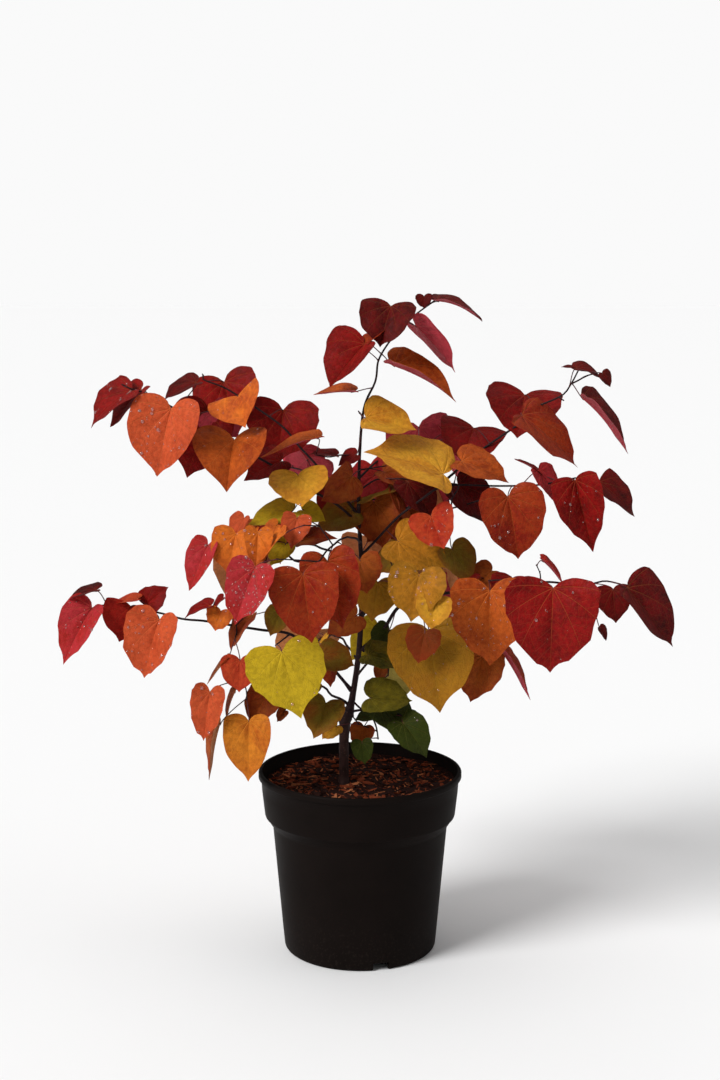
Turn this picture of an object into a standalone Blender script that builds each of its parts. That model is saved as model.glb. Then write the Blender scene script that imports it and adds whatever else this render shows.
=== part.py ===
"""Young redbud tree in a plastic nursery pot.

A slender trunk rises out of the potting mix with a low graft swelling, wanders a little and leans
over at its tip. Thin boughs leave it on all sides, and each ends in the mass of large drooping
leaves that it carries. Lengths are in metres, +Z is up and the front of the plant faces -Y. The
origin is the centre of the pot's flat underside.
"""

import math
from collections import namedtuple

import bmesh
import bpy
from mathutils import Matrix, Vector, noise

# Pot, turned round the Z axis. Its floor is raised on a skirt, round a flat pad in the middle.
RIM_RADIUS = 0.120
RIM_BAND = 0.0085
POT_HEIGHT = 0.216
COLLAR_TOP_RADIUS = 0.1170
COLLAR_FOOT_RADIUS = 0.1127
COLLAR_FOOT_HEIGHT = 0.163
BODY_TOP_RADIUS = 0.1035
BODY_TOP_HEIGHT = 0.152
BASE_RADIUS = 0.0900
BASE_CORNER = 0.004
SKIRT = 0.006
WALL = 0.0018
FLOOR_UNDERSIDE = 0.0105
FLOOR = FLOOR_UNDERSIDE + WALL
PAD_RADIUS = 0.030
PAD_SLOPE = 0.006
POT_SEGMENTS = 32
CORNER_STEPS = 2

# Notches through the skirt, one of them just right of the front, and the drain holes in the floor
NOTCHES = 3
NOTCH_WIDTH = 0.019
NOTCH_HEIGHT = 0.0097
FRONT_NOTCH_TURN = math.radians(15.7)
DRAIN_HOLE_RADIUS = 0.004
DRAIN_HOLE_REACH = 0.060

# Potting mix
MIX_TOP = 0.201
GAP = 0.0003

# Trunk and boughs
TRUNK_SIDES = 9
TRUNK_STEPS = 2
BOUGH_SIDES = 6
BOUGH_STEPS = 5
SOCKET_GAP = 0.0004

# Foliage masses
MASS_SEGMENTS = 10
MASS_RINGS = 6
LUMP_DEPTH = 0.22
LUMP_PITCH = 1.9

# Colours and finish
BARK_COLOUR = (0.115, 0.070, 0.055)
YOUNG_BARK_COLOUR = (0.045, 0.018, 0.020)
POT_COLOUR = (0.018, 0.016, 0.017)
MIX_COLOUR = (0.070, 0.028, 0.018)
WINE = (0.180, 0.010, 0.018)
CRIMSON = (0.380, 0.022, 0.030)
ORANGE = (0.520, 0.110, 0.015)
GOLD = (0.480, 0.250, 0.020)
LIME = (0.300, 0.260, 0.020)
GREEN = (0.070, 0.100, 0.012)
LEAF_NAMES = {
    WINE: "wine", CRIMSON: "crimson", ORANGE: "orange", GOLD: "gold", LIME: "lime", GREEN: "green",
}

Station = namedtuple("Station", "x y z radius")
Bough = namedtuple("Bough", "name fork elbow tip radius tip_radius")
Mass = namedtuple("Mass", "name limb centre half tilt colour")

# The trunk from its flat foot on the mix, through the graft swelling, to its leaning tip
TRUNK = (
    Station(-0.0192, 0.0000, MIX_TOP + GAP, 0.0066),
    Station(-0.0192, 0.0000, 0.212, 0.0056),
    Station(-0.0182, 0.0010, 0.262, 0.0061),
    Station(-0.0158, 0.0010, 0.278, 0.0079),
    Station(-0.0095, 0.0000, 0.300, 0.0040),
    Station(-0.0010, -0.0030, 0.362, 0.0033),
    Station(0.0022, 0.0000, 0.440, 0.0028),
    Station(-0.0015, 0.0035, 0.536, 0.0021),
    Station(0.0030, 0.0000, 0.634, 0.0015),
    Station(0.0175, -0.0035, 0.674, 0.0012),
    Station(0.0230, 0.0000, 0.702, 0.0011),
    Station(0.0500, 0.0030, 0.738, 0.0010),
    Station(0.0860, 0.0000, 0.766, 0.0009),
)

# Each bough leaves the trunk at the height of its fork and bends once on its way to its tip
BOUGHS = (
    Bough("left_low", 0.313, (-0.085, -0.050, 0.403), (-0.305, -0.050, 0.421), 0.0020, 0.0009),
    Bough("left_droop", 0.297, (-0.069, -0.030, 0.345), (-0.153, -0.050, 0.328), 0.0015, 0.0009),
    Bough("left_mid", 0.429, (-0.067, -0.070, 0.478), (-0.149, -0.100, 0.500), 0.0015, 0.0009),
    Bough("left_upper", 0.519, (-0.084, 0.030, 0.629), (-0.172, 0.025, 0.662), 0.0015, 0.0009),
    Bough("left_high", 0.508, (-0.101, -0.050, 0.594), (-0.250, -0.057, 0.660), 0.0016, 0.0009),
    Bough("front_left", 0.490, (-0.017, -0.080, 0.519), (-0.045, -0.138, 0.488), 0.0014, 0.0009),
    Bough("front_right", 0.413, (0.044, -0.100, 0.467), (0.091, -0.155, 0.474), 0.0016, 0.0009),
    Bough("right_lowest", 0.285, (0.029, -0.040, 0.304), (0.060, -0.058, 0.290), 0.0015, 0.0009),
    Bough("right_low", 0.362, (0.080, -0.040, 0.444), (0.300, -0.030, 0.442), 0.0023, 0.0009),
    Bough("right_upper", 0.449, (0.088, 0.030, 0.570), (0.258, 0.018, 0.672), 0.0021, 0.0009),
    Bough("right_mid", 0.478, (0.110, -0.020, 0.556), (0.252, -0.030, 0.560), 0.0015, 0.0009),
    Bough("back_left_high", 0.500, (-0.045, 0.080, 0.565), (-0.100, 0.145, 0.560), 0.0014, 0.0009),
    Bough("back_right_high", 0.560, (0.045, 0.080, 0.602), (0.090, 0.145, 0.580), 0.0013, 0.0009),
    Bough("back_left_mid", 0.455, (-0.060, 0.110, 0.482), (-0.120, 0.170, 0.455), 0.0016, 0.0009),
    Bough("back_centre", 0.425, (0.000, 0.120, 0.478), (0.005, 0.190, 0.435), 0.0016, 0.0009),
    Bough("back_right_mid", 0.400, (0.060, 0.090, 0.458), (0.125, 0.150, 0.432), 0.0016, 0.0009),
    Bough("back_left_low", 0.345, (-0.025, 0.080, 0.378), (-0.055, 0.140, 0.338), 0.0015, 0.0009),
    Bough("back_right_low", 0.330, (0.030, 0.080, 0.358), (0.065, 0.135, 0.318), 0.0015, 0.0009),
)

# Each mass by its centre, its half sizes along its own length, depth and height, and how far in
# degrees its right end tips down. It names the limb that carries it.
MASSES = (
    Mass("tip", "trunk", (0.102, 0.000, 0.759), (0.044, 0.022, 0.013), 18, WINE),
    Mass("top_left", "trunk", (0.006, 0.000, 0.715), (0.072, 0.045, 0.034), -48, WINE),
    Mass("top_right", "trunk", (0.077, 0.000, 0.696), (0.060, 0.040, 0.028), 58, CRIMSON),
    Mass("gold", "trunk", (0.042, -0.026, 0.608), (0.060, 0.042, 0.046), 8, GOLD),
    Mass("left_far", "left_high", (-0.235, -0.050, 0.628), (0.080, 0.032, 0.052), 12, ORANGE),
    Mass("left_upper", "left_upper", (-0.150, 0.018, 0.622), (0.052, 0.034, 0.074), 0, CRIMSON),
    Mass("left_inner", "left_high", (-0.068, -0.022, 0.590), (0.060, 0.040, 0.058), 0, WINE),
    Mass("right_far", "right_upper", (0.272, 0.015, 0.643), (0.060, 0.030, 0.021), 57, WINE),
    Mass("right_upper", "right_upper", (0.197, 0.010, 0.624), (0.056, 0.035, 0.050), 0, CRIMSON),
    Mass("right_inner", "right_upper", (0.129, 0.012, 0.588), (0.045, 0.035, 0.045), 0, WINE),
    Mass("right_mid", "right_mid", (0.180, -0.038, 0.525), (0.045, 0.032, 0.060), 0, ORANGE),
    Mass("right_outer", "right_mid", (0.273, -0.030, 0.530), (0.046, 0.030, 0.048), 15, CRIMSON),
    Mass("centre_upper", "right_upper", (0.040, 0.046, 0.520), (0.082, 0.042, 0.050), 0, WINE),
    Mass("left_mid", "left_mid", (-0.128, -0.085, 0.478), (0.075, 0.038, 0.062), -8, ORANGE),
    Mass("front_left", "front_left", (-0.050, -0.130, 0.450), (0.056, 0.032, 0.055), 0, ORANGE),
    Mass("centre_low", "right_low", (0.022, -0.034, 0.408), (0.032, 0.030, 0.068), 0, GOLD),
    Mass("front_right", "front_right", (0.080, -0.132, 0.420), (0.054, 0.038, 0.094), 0, GOLD),
    Mass("right_low", "right_low", (0.150, -0.046, 0.392), (0.040, 0.038, 0.078), 0, ORANGE),
    Mass("right_lower", "right_low", (0.228, -0.048, 0.404), (0.056, 0.030, 0.062), 0, CRIMSON),
    Mass("right_tip", "right_low", (0.318, -0.030, 0.409), (0.060, 0.026, 0.026), 40, WINE),
    Mass("left_low", "left_low", (-0.160, -0.050, 0.401), (0.040, 0.025, 0.034), -15, ORANGE),
    Mass("left_lower", "left_low", (-0.244, -0.050, 0.394), (0.046, 0.028, 0.058), 0, ORANGE),
    Mass("left_tip", "left_low", (-0.322, -0.050, 0.402), (0.030, 0.024, 0.048), 0, CRIMSON),
    Mass("lime", "left_low", (-0.084, -0.064, 0.350), (0.050, 0.042, 0.058), 0, LIME),
    Mass("left_droop", "left_droop", (-0.150, -0.050, 0.292), (0.046, 0.032, 0.074), 8, ORANGE),
    Mass("low_left", "left_droop", (-0.040, -0.028, 0.304), (0.034, 0.028, 0.042), 0, LIME),
    Mass("low_right", "right_lowest", (0.050, -0.046, 0.284), (0.044, 0.032, 0.042), 20, GREEN),
    Mass("back_left_high", "back_left_high", (-0.095, 0.120, 0.548), (0.055, 0.062, 0.046), -15, ORANGE),
    Mass("back_right_high", "back_right_high", (0.090, 0.122, 0.566), (0.052, 0.062, 0.048), 15, CRIMSON),
    Mass("back_left_mid", "back_left_mid", (-0.110, 0.138, 0.440), (0.060, 0.066, 0.050), -12, ORANGE),
    Mass("back_centre", "back_centre", (0.004, 0.172, 0.415), (0.052, 0.064, 0.056), 0, GOLD),
    Mass("back_right_mid", "back_right_mid", (0.120, 0.128, 0.415), (0.058, 0.066, 0.052), 12, ORANGE),
    Mass("back_left_low", "back_left_low", (-0.055, 0.116, 0.315), (0.048, 0.058, 0.044), -10, LIME),
    Mass("back_right_low", "back_right_low", (0.065, 0.112, 0.299), (0.048, 0.058, 0.044), 10, LIME),
)


def clear_scene():
    for obj in list(bpy.data.objects):
        bpy.data.objects.remove(obj)


def material(name, colour, roughness):
    made = bpy.data.materials.get(name) or bpy.data.materials.new(name)
    made.use_nodes = True
    shader = made.node_tree.nodes["Principled BSDF"]
    shader.inputs["Base Color"].default_value = (*colour, 1.0)
    shader.inputs["Roughness"].default_value = roughness
    shader.inputs["Metallic"].default_value = 0.0
    return made


def new_object(name, bm, place=Vector((0, 0, 0)), finish=None, parent=None):
    """An object from a bmesh whose coordinates are relative to place."""
    mesh = bpy.data.meshes.new(name)
    bm.to_mesh(mesh)
    bm.free()
    mesh.shade_smooth()
    mesh.set_sharp_from_angle(angle=math.radians(40))
    obj = bpy.data.objects.new(name, mesh)
    bpy.context.collection.objects.link(obj)
    obj.location = place
    if parent:
        obj.parent = parent
        obj.location = place - parent.location
    if finish:
        mesh.materials.append(finish)
    return obj


def as_cutter(obj):
    obj.hide_render = True
    obj.display_type = "WIRE"
    return obj


def cut(obj, cutter):
    boolean = obj.modifiers.new(f"cut_{cutter.name}"[:60], "BOOLEAN")
    boolean.operation = "DIFFERENCE"
    boolean.solver = "EXACT"
    boolean.object = cutter


def arc(centre_r, centre_z, radius, start, end, steps):
    """Profile points (r, z) along an arc, with angles in degrees from the +r direction."""
    angles = [math.radians(start + (end - start) * i / steps) for i in range(steps + 1)]
    return [(centre_r + radius * math.cos(a), centre_z + radius * math.sin(a)) for a in angles]


def turned(profile, segments):
    """A closed solid from a profile that starts and ends on the Z axis."""
    bm = bmesh.new()
    verts = [bm.verts.new((r, 0, z)) for r, z in profile]
    edges = [bm.edges.new(pair) for pair in zip(verts, verts[1:])]
    bmesh.ops.spin(
        bm, geom=verts + edges, cent=(0, 0, 0), axis=(0, 0, 1), angle=math.tau, steps=segments,
        use_merge=True,
    )
    bmesh.ops.remove_doubles(bm, verts=bm.verts, dist=0.00001)
    bmesh.ops.recalc_face_normals(bm, faces=bm.faces)
    return bm


def inner_wall_radius(height):
    """The pot's inner radius at a height, one wall inside the body or the collar."""
    if height <= BODY_TOP_HEIGHT:
        grow = height / BODY_TOP_HEIGHT
        return BASE_RADIUS + (BODY_TOP_RADIUS - BASE_RADIUS) * grow - WALL
    grow = (height - COLLAR_FOOT_HEIGHT) / (POT_HEIGHT - RIM_BAND - COLLAR_FOOT_HEIGHT)
    return COLLAR_FOOT_RADIUS + (COLLAR_TOP_RADIUS - COLLAR_FOOT_RADIUS) * grow - WALL


def drainage_cutters():
    """The boxes that notch the skirt, and the upright cylinders that drill the floor."""
    notches = bmesh.new()
    holes = bmesh.new()
    size = Matrix.Diagonal((BASE_RADIUS / 2, NOTCH_WIDTH, 2 * NOTCH_HEIGHT, 1))
    notch_place = Matrix.Translation((BASE_RADIUS, 0, 0))
    hole_place = Matrix.Translation((DRAIN_HOLE_REACH, 0, FLOOR))
    for number in range(NOTCHES):
        turn = Matrix.Rotation(math.tau * number / NOTCHES - math.pi / 2 + FRONT_NOTCH_TURN, 4, "Z")
        bmesh.ops.create_cube(notches, size=1, matrix=turn @ notch_place @ size)
        bmesh.ops.create_cone(
            holes, cap_ends=True, segments=8, radius1=DRAIN_HOLE_RADIUS, radius2=DRAIN_HOLE_RADIUS,
            depth=4 * WALL, matrix=turn @ hole_place,
        )
    return [as_cutter(new_object("notches", notches)), as_cutter(new_object("drain_holes", holes))]


def make_pot():
    """The thin pot: skirted floor, plain tapering body, stepped collar and a banded rim."""
    lip = (RIM_RADIUS - inner_wall_radius(POT_HEIGHT)) / 2
    step = (COLLAR_FOOT_HEIGHT - BODY_TOP_HEIGHT) / 2
    outside = [
        (0, 0),
        (PAD_RADIUS, 0),
        (PAD_RADIUS + PAD_SLOPE, FLOOR_UNDERSIDE),
        (BASE_RADIUS - SKIRT, FLOOR_UNDERSIDE),
        (BASE_RADIUS - SKIRT, 0),
    ]
    outside += arc(BASE_RADIUS - BASE_CORNER, BASE_CORNER, BASE_CORNER, -90, 0, CORNER_STEPS)
    outside += [
        (BODY_TOP_RADIUS, BODY_TOP_HEIGHT),
        (COLLAR_FOOT_RADIUS - step, BODY_TOP_HEIGHT + step * 0.6),
        (COLLAR_FOOT_RADIUS, COLLAR_FOOT_HEIGHT),
        (COLLAR_TOP_RADIUS, POT_HEIGHT - RIM_BAND),
        (RIM_RADIUS, POT_HEIGHT - RIM_BAND + 0.001),
    ]
    outside += arc(RIM_RADIUS - lip, POT_HEIGHT - lip, lip, 0, 180, 2 * CORNER_STEPS)
    inside = [
        (inner_wall_radius(COLLAR_FOOT_HEIGHT), COLLAR_FOOT_HEIGHT),
        (COLLAR_FOOT_RADIUS - step - WALL, BODY_TOP_HEIGHT + step),
        (inner_wall_radius(BODY_TOP_HEIGHT), BODY_TOP_HEIGHT),
        (inner_wall_radius(FLOOR), FLOOR),
        (PAD_RADIUS + PAD_SLOPE - WALL, FLOOR),
        (PAD_RADIUS - WALL, WALL),
        (0, WALL),
    ]
    finish = material("pot_plastic", POT_COLOUR, 0.55)
    pot = new_object("pot", turned(outside + inside, POT_SEGMENTS), finish=finish)
    for cutter in drainage_cutters():
        cut(pot, cutter)
    return pot


def make_mix(pot):
    """The potting mix, which fills the pot to just under its rim."""
    step = (COLLAR_FOOT_HEIGHT - BODY_TOP_HEIGHT) / 2
    profile = [
        (0, WALL + GAP),
        (PAD_RADIUS - WALL - GAP, WALL + GAP),
        (PAD_RADIUS + PAD_SLOPE - WALL - GAP, FLOOR + GAP),
        (inner_wall_radius(FLOOR) - GAP, FLOOR + GAP),
        (inner_wall_radius(BODY_TOP_HEIGHT) - GAP, BODY_TOP_HEIGHT + GAP),
        (COLLAR_FOOT_RADIUS - step - WALL - GAP, BODY_TOP_HEIGHT + step + GAP),
        (inner_wall_radius(COLLAR_FOOT_HEIGHT) - GAP, COLLAR_FOOT_HEIGHT + GAP),
        (inner_wall_radius(MIX_TOP) - GAP, MIX_TOP),
        (0, MIX_TOP),
    ]
    finish = material("potting_mix", MIX_COLOUR, 0.95)
    return new_object("potting_mix", turned(profile, POT_SEGMENTS), finish=finish, parent=pot)


def smooth_path(stations, steps):
    """Stations on a smooth curve that runs through all the given ones."""
    ends = [stations[0], *stations, stations[-1]]
    path = []
    for before, a, b, after in zip(ends, ends[1:], ends[2:], ends[3:]):
        for i in range(steps):
            t = i / steps
            path.append([
                0.5 * (2 * q + (r - p) * t + (2 * p - 5 * q + 4 * r - s) * t**2
                       + (3 * q - p - 3 * r + s) * t**3)
                for p, q, r, s in zip(before, a, b, after)
            ])
    path.append(list(stations[-1]))
    return path


def trunk_point(height):
    """The place on the trunk's centre line at a height."""
    for a, b in zip(TRUNK_PATH, TRUNK_PATH[1:]):
        if a[2] <= height <= b[2]:
            return Vector(a[:3]).lerp(Vector(b[:3]), (height - a[2]) / (b[2] - a[2]))
    raise ValueError(f"the trunk has no point at {height}")


def bough_path(bough):
    """Stations along a bough, on the curve from its fork past its elbow to its tip."""
    root = trunk_point(bough.fork)
    elbow = Vector(bough.elbow)
    tip = Vector(bough.tip)
    path = []
    for i in range(BOUGH_STEPS + 1):
        t = i / BOUGH_STEPS
        place = root * (1 - t) ** 2 + elbow * 2 * t * (1 - t) + tip * t**2
        path.append([*place, bough.radius + (bough.tip_radius - bough.radius) * t])
    return path


def limb(path, sides, upright_foot=False, grow=0.0):
    """A closed limb: its foot disc is extruded from station to station of the path.

    A limb that stands on the mix has an upright foot, so that its cut face is level. The limb's
    sides and its end grow by the given amount for a cutter.
    """
    places = [Vector(p[:3]) for p in path]
    origin = places[0]
    directions = [(b - a).normalized() for a, b in zip(places, places[1:])]
    directions.append(directions[-1])
    places[-1] = places[-1] + directions[-1] * grow
    if upright_foot:
        directions[0] = Vector((0, 0, 1))
    first = directions[0].to_track_quat("Z", "Y")
    poses = []
    for i, place in enumerate(places):
        along = directions[i] if i == 0 else (directions[i - 1] + directions[i]).normalized()
        turn = directions[0].rotation_difference(along) @ first if i else first
        size = path[i][3] + grow
        poses.append(Matrix.LocRotScale(place - origin, turn, (size, size, size)))
    bm = bmesh.new()
    bmesh.ops.create_circle(bm, cap_ends=True, segments=sides, radius=1, matrix=poses[0])
    bm.faces.ensure_lookup_table()
    foot = end = bm.faces[0]
    for before, after in zip(poses, poses[1:]):
        made = bmesh.ops.extrude_face_region(bm, geom=[end])
        if end is not foot:
            bmesh.ops.delete(bm, geom=[end], context="FACES_ONLY")
        end = next(g for g in made["geom"] if isinstance(g, bmesh.types.BMFace))
        bmesh.ops.transform(bm, matrix=after @ before.inverted(), verts=end.verts)
    bmesh.ops.triangulate(bm, faces=bm.faces)
    bmesh.ops.recalc_face_normals(bm, faces=bm.faces)
    return bm, origin


def make_limb(name, path, sides, finish, parent):
    """A limb, and the slightly fatter cutter that leaves a socket for it in what it meets."""
    upright = name == "trunk"
    bm, origin = limb(path, sides, upright)
    made = new_object(name, bm, origin, finish, parent)
    fat, origin = limb(path, sides, upright, SOCKET_GAP)
    return made, as_cutter(new_object(f"{name}_socket", fat, origin))


def mass_mesh(mass, seed, grow=0.0):
    """A closed uneven ellipsoid, lumpy like a spray of leaves, tipped by the mass's tilt."""
    bm = bmesh.new()
    bmesh.ops.create_uvsphere(bm, u_segments=MASS_SEGMENTS, v_segments=MASS_RINGS, radius=1)
    half = Vector(mass.half)
    for vert in bm.verts:
        unit = vert.co.copy()
        lump = noise.noise(unit * LUMP_PITCH + Vector((seed * 7.3, seed * 3.1, seed * 5.7)))
        vert.co = half * unit * (1 + LUMP_DEPTH * lump) + unit * grow
    turn = Matrix.Rotation(math.radians(mass.tilt), 4, "Y")
    bmesh.ops.transform(bm, matrix=turn, verts=bm.verts)
    bmesh.ops.triangulate(bm, faces=bm.faces)
    return bm


def boxes_meet(a, b):
    corners_a = [a.matrix_world @ Vector(c) for c in a.bound_box]
    corners_b = [b.matrix_world @ Vector(c) for c in b.bound_box]
    return all(
        min(c[i] for c in corners_a) < max(c[i] for c in corners_b)
        and min(c[i] for c in corners_b) < max(c[i] for c in corners_a)
        for i in range(3)
    )


def make_tree(pot):
    old_bark = material("bark", BARK_COLOUR, 0.85)
    young_bark = material("young_bark", YOUNG_BARK_COLOUR, 0.6)
    trunk, trunk_socket = make_limb("trunk", TRUNK_PATH, TRUNK_SIDES, old_bark, pot)
    limbs = {"trunk": trunk}
    sockets = [trunk_socket]
    for bough in BOUGHS:
        name = f"bough_{bough.name}"
        made, socket = make_limb(name, bough_path(bough), BOUGH_SIDES, young_bark, trunk)
        cut(made, trunk_socket)
        limbs[bough.name] = made
        sockets.append(socket)
    masses = []
    for number, mass in enumerate(MASSES):
        finish = material(f"leaf_{LEAF_NAMES[mass.colour]}", mass.colour, 0.6)
        shape = mass_mesh(mass, number)
        made = new_object(f"leaves_{mass.name}", shape, Vector(mass.centre), finish)
        masses.append((mass, made, limbs[mass.limb]))
    bpy.context.view_layer.update()
    for number, (mass, made, parent) in enumerate(masses):
        for socket in sockets:
            if boxes_meet(made, socket):
                cut(made, socket)
        for other_number, (other, neighbour, _) in enumerate(masses[:number]):
            if boxes_meet(made, neighbour):
                bm = mass_mesh(other, other_number, SOCKET_GAP)
                place = Vector(other.centre)
                cut(made, as_cutter(new_object(f"{other.name}_space_{number}", bm, place)))
        made.parent = parent
        made.matrix_parent_inverse = parent.matrix_world.inverted()


clear_scene()
TRUNK_PATH = smooth_path(TRUNK, TRUNK_STEPS)
nursery_pot = make_pot()
make_mix(nursery_pot)
make_tree(nursery_pot)
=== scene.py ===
"""Young redbud tree in a nursery pot: bark, twigs, leaves, pot and mix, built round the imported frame.

Lengths are in metres, +Z is up and the front of the plant faces -Y. What shows in the photograph is
placed by the pixels of its 720 x 1080 frame, and the rest of the crown grows by a seeded rule.
"""

import math
import random
from collections import namedtuple
from functools import cache

import bmesh
import bpy
from bpy.props import FloatProperty, FloatVectorProperty, IntProperty, PointerProperty
from mathutils import Matrix, Vector, noise


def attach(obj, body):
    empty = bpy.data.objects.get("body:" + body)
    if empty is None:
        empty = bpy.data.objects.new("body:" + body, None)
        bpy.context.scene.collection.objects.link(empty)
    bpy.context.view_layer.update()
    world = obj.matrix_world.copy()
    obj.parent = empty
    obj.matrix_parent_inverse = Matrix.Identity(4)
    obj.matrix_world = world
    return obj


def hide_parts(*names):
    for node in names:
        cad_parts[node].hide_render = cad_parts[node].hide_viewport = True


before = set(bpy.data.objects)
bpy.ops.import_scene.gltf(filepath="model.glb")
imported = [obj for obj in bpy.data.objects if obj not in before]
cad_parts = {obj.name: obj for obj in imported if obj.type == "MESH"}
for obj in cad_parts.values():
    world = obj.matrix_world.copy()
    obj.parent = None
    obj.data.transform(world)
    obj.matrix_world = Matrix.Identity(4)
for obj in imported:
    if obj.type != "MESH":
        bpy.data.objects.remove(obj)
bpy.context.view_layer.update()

bl_info = {
    "name": "Potted redbud tree",
    "version": (1, 0, 0),
    "blender": (4, 5, 0),
    "location": "3D View > Sidebar > Redbud",
    "description": "Builds the bark, leaves, pot and stage of a young potted redbud tree",
    "category": "Object",
}

BODY = "root"

# The photograph's frame in pixels, and the longer side of the camera's sensor
PHOTO_WIDTH = 720
PHOTO_HEIGHT = 1080
SENSOR = 0.036

Station = namedtuple("Station", "x y z radius")
Bough = namedtuple("Bough", "name fork elbow tip radius route", defaults=((),))
Twig = namedtuple("Twig", "route near far radius")
Leaf = namedtuple(
    "Leaf", "tint notch tip depth lean turn breadth fold arch wet lobes",
    defaults=(8, 0, 1.0, 14, 0.05, 0, 0.62),
)
Spray = namedtuple("Spray", "centre half tints leaves")
Limb = namedtuple("Limb", "name places radii")
Crown = namedtuple("Crown", "limbs stalks blades")
Blade = namedtuple("Blade", "tint notch across along face length breadth fold arch wet lobes seed")

# The trunk from its foot on the mix, through the graft swelling, to its leaning tip
TRUNK = (
    Station(-0.0192, 0.0000, 0.2013, 0.0066),
    Station(-0.0192, 0.0000, 0.212, 0.0056),
    Station(-0.0182, 0.0010, 0.262, 0.0061),
    Station(-0.0158, 0.0010, 0.278, 0.0079),
    Station(-0.0095, 0.0000, 0.300, 0.0040),
    Station(-0.0010, -0.0030, 0.362, 0.0033),
    Station(0.0022, 0.0000, 0.440, 0.0028),
    Station(-0.0015, 0.0035, 0.536, 0.0021),
    Station(0.0030, 0.0000, 0.634, 0.0015),
    Station(0.0175, -0.0035, 0.674, 0.0012),
    Station(0.0230, 0.0000, 0.702, 0.0011),
    Station(0.0500, 0.0030, 0.738, 0.0010),
    Station(0.0860, 0.0000, 0.766, 0.0009),
)

# Each bough by the height of its fork on the trunk, its elbow, its tip and its radius at the fork.
# Where the photograph shows it, its route gives the pixels that it runs through, and the curve
# gives only its depth.
BOUGHS = (
    Bough(
        "left_low", 0.313, (-0.085, -0.050, 0.403), (-0.305, -0.050, 0.421), 0.0020,
        ((351, 690), (334, 670), (313, 651), (290, 634), (262, 630), (236, 626), (205, 621), (183, 619),
         (160, 613), (134, 609), (111, 605), (103, 606)),
    ),
    Bough(
        "left_droop", 0.297, (-0.069, -0.030, 0.345), (-0.153, -0.050, 0.328), 0.0015,
        ((349, 705), (341, 699), (331, 695), (324, 687), (306, 684), (282, 686), (255, 683), (232, 682)),
    ),
    Bough(
        "left_mid", 0.429, (-0.067, -0.070, 0.478), (-0.149, -0.100, 0.500), 0.0015,
        ((361, 594), (338, 578), (308, 562), (295, 561), (280, 548), (262, 541), (240, 538), (222, 544)),
    ),
    Bough(
        "left_upper", 0.519, (-0.084, 0.030, 0.629), (-0.172, 0.025, 0.662), 0.0015,
        ((358, 515), (341, 493), (311, 459), (298, 445), (283, 427), (252, 405), (225, 388), (204, 380),
         (203, 375)),
    ),
    Bough(
        "left_high", 0.508, (-0.101, -0.050, 0.594), (-0.250, -0.057, 0.660), 0.0016,
        ((359, 524), (336, 504), (303, 486), (273, 466), (259, 458), (230, 441), (200, 424), (172, 407),
         (153, 397), (140, 391), (131, 389), (123, 385)),
    ),
    Bough("front_left", 0.490, (-0.017, -0.080, 0.519), (-0.045, -0.138, 0.488), 0.0014),
    Bough("front_right", 0.413, (0.044, -0.100, 0.467), (0.091, -0.155, 0.474), 0.0016),
    Bough("right_lowest", 0.285, (0.029, -0.040, 0.304), (0.060, -0.058, 0.290), 0.0015),
    Bough(
        "right_low", 0.362, (0.080, -0.040, 0.444), (0.300, -0.030, 0.442), 0.0023,
        ((362, 650), (373, 639), (384, 629), (400, 606), (430, 596), (470, 590), (510, 586), (545, 582),
         (570, 584), (590, 584), (605, 581), (620, 584)),
    ),
    Bough(
        "right_upper", 0.449, (0.088, 0.030, 0.570), (0.258, 0.018, 0.672), 0.0021,
        ((362, 579), (378, 556), (384, 547), (389, 533), (395, 519), (416, 502), (435, 489), (455, 472),
         (483, 449), (503, 435), (520, 423), (530, 410), (561, 396), (571, 384), (578, 371)),
    ),
    Bough(
        "right_mid", 0.478, (0.110, -0.020, 0.556), (0.252, -0.030, 0.560), 0.0015,
        ((361, 556), (378, 538), (398, 517), (418, 502), (438, 488), (459, 485), (498, 486), (538, 485),
         (555, 482), (575, 478)),
    ),
    Bough("back_left_high", 0.500, (-0.045, 0.080, 0.565), (-0.100, 0.145, 0.560), 0.0014),
    Bough("back_right_high", 0.560, (0.045, 0.080, 0.602), (0.090, 0.145, 0.580), 0.0013),
    Bough("back_left_mid", 0.455, (-0.060, 0.110, 0.482), (-0.120, 0.170, 0.455), 0.0016),
    Bough("back_centre", 0.425, (0.000, 0.120, 0.478), (0.005, 0.190, 0.435), 0.0016),
    Bough("back_right_mid", 0.400, (0.060, 0.090, 0.458), (0.125, 0.150, 0.432), 0.0016),
    Bough("back_left_low", 0.345, (-0.025, 0.080, 0.378), (-0.055, 0.140, 0.338), 0.0015),
    Bough("back_right_low", 0.330, (0.030, 0.080, 0.358), (0.065, 0.135, 0.318), 0.0015),
)

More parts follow.
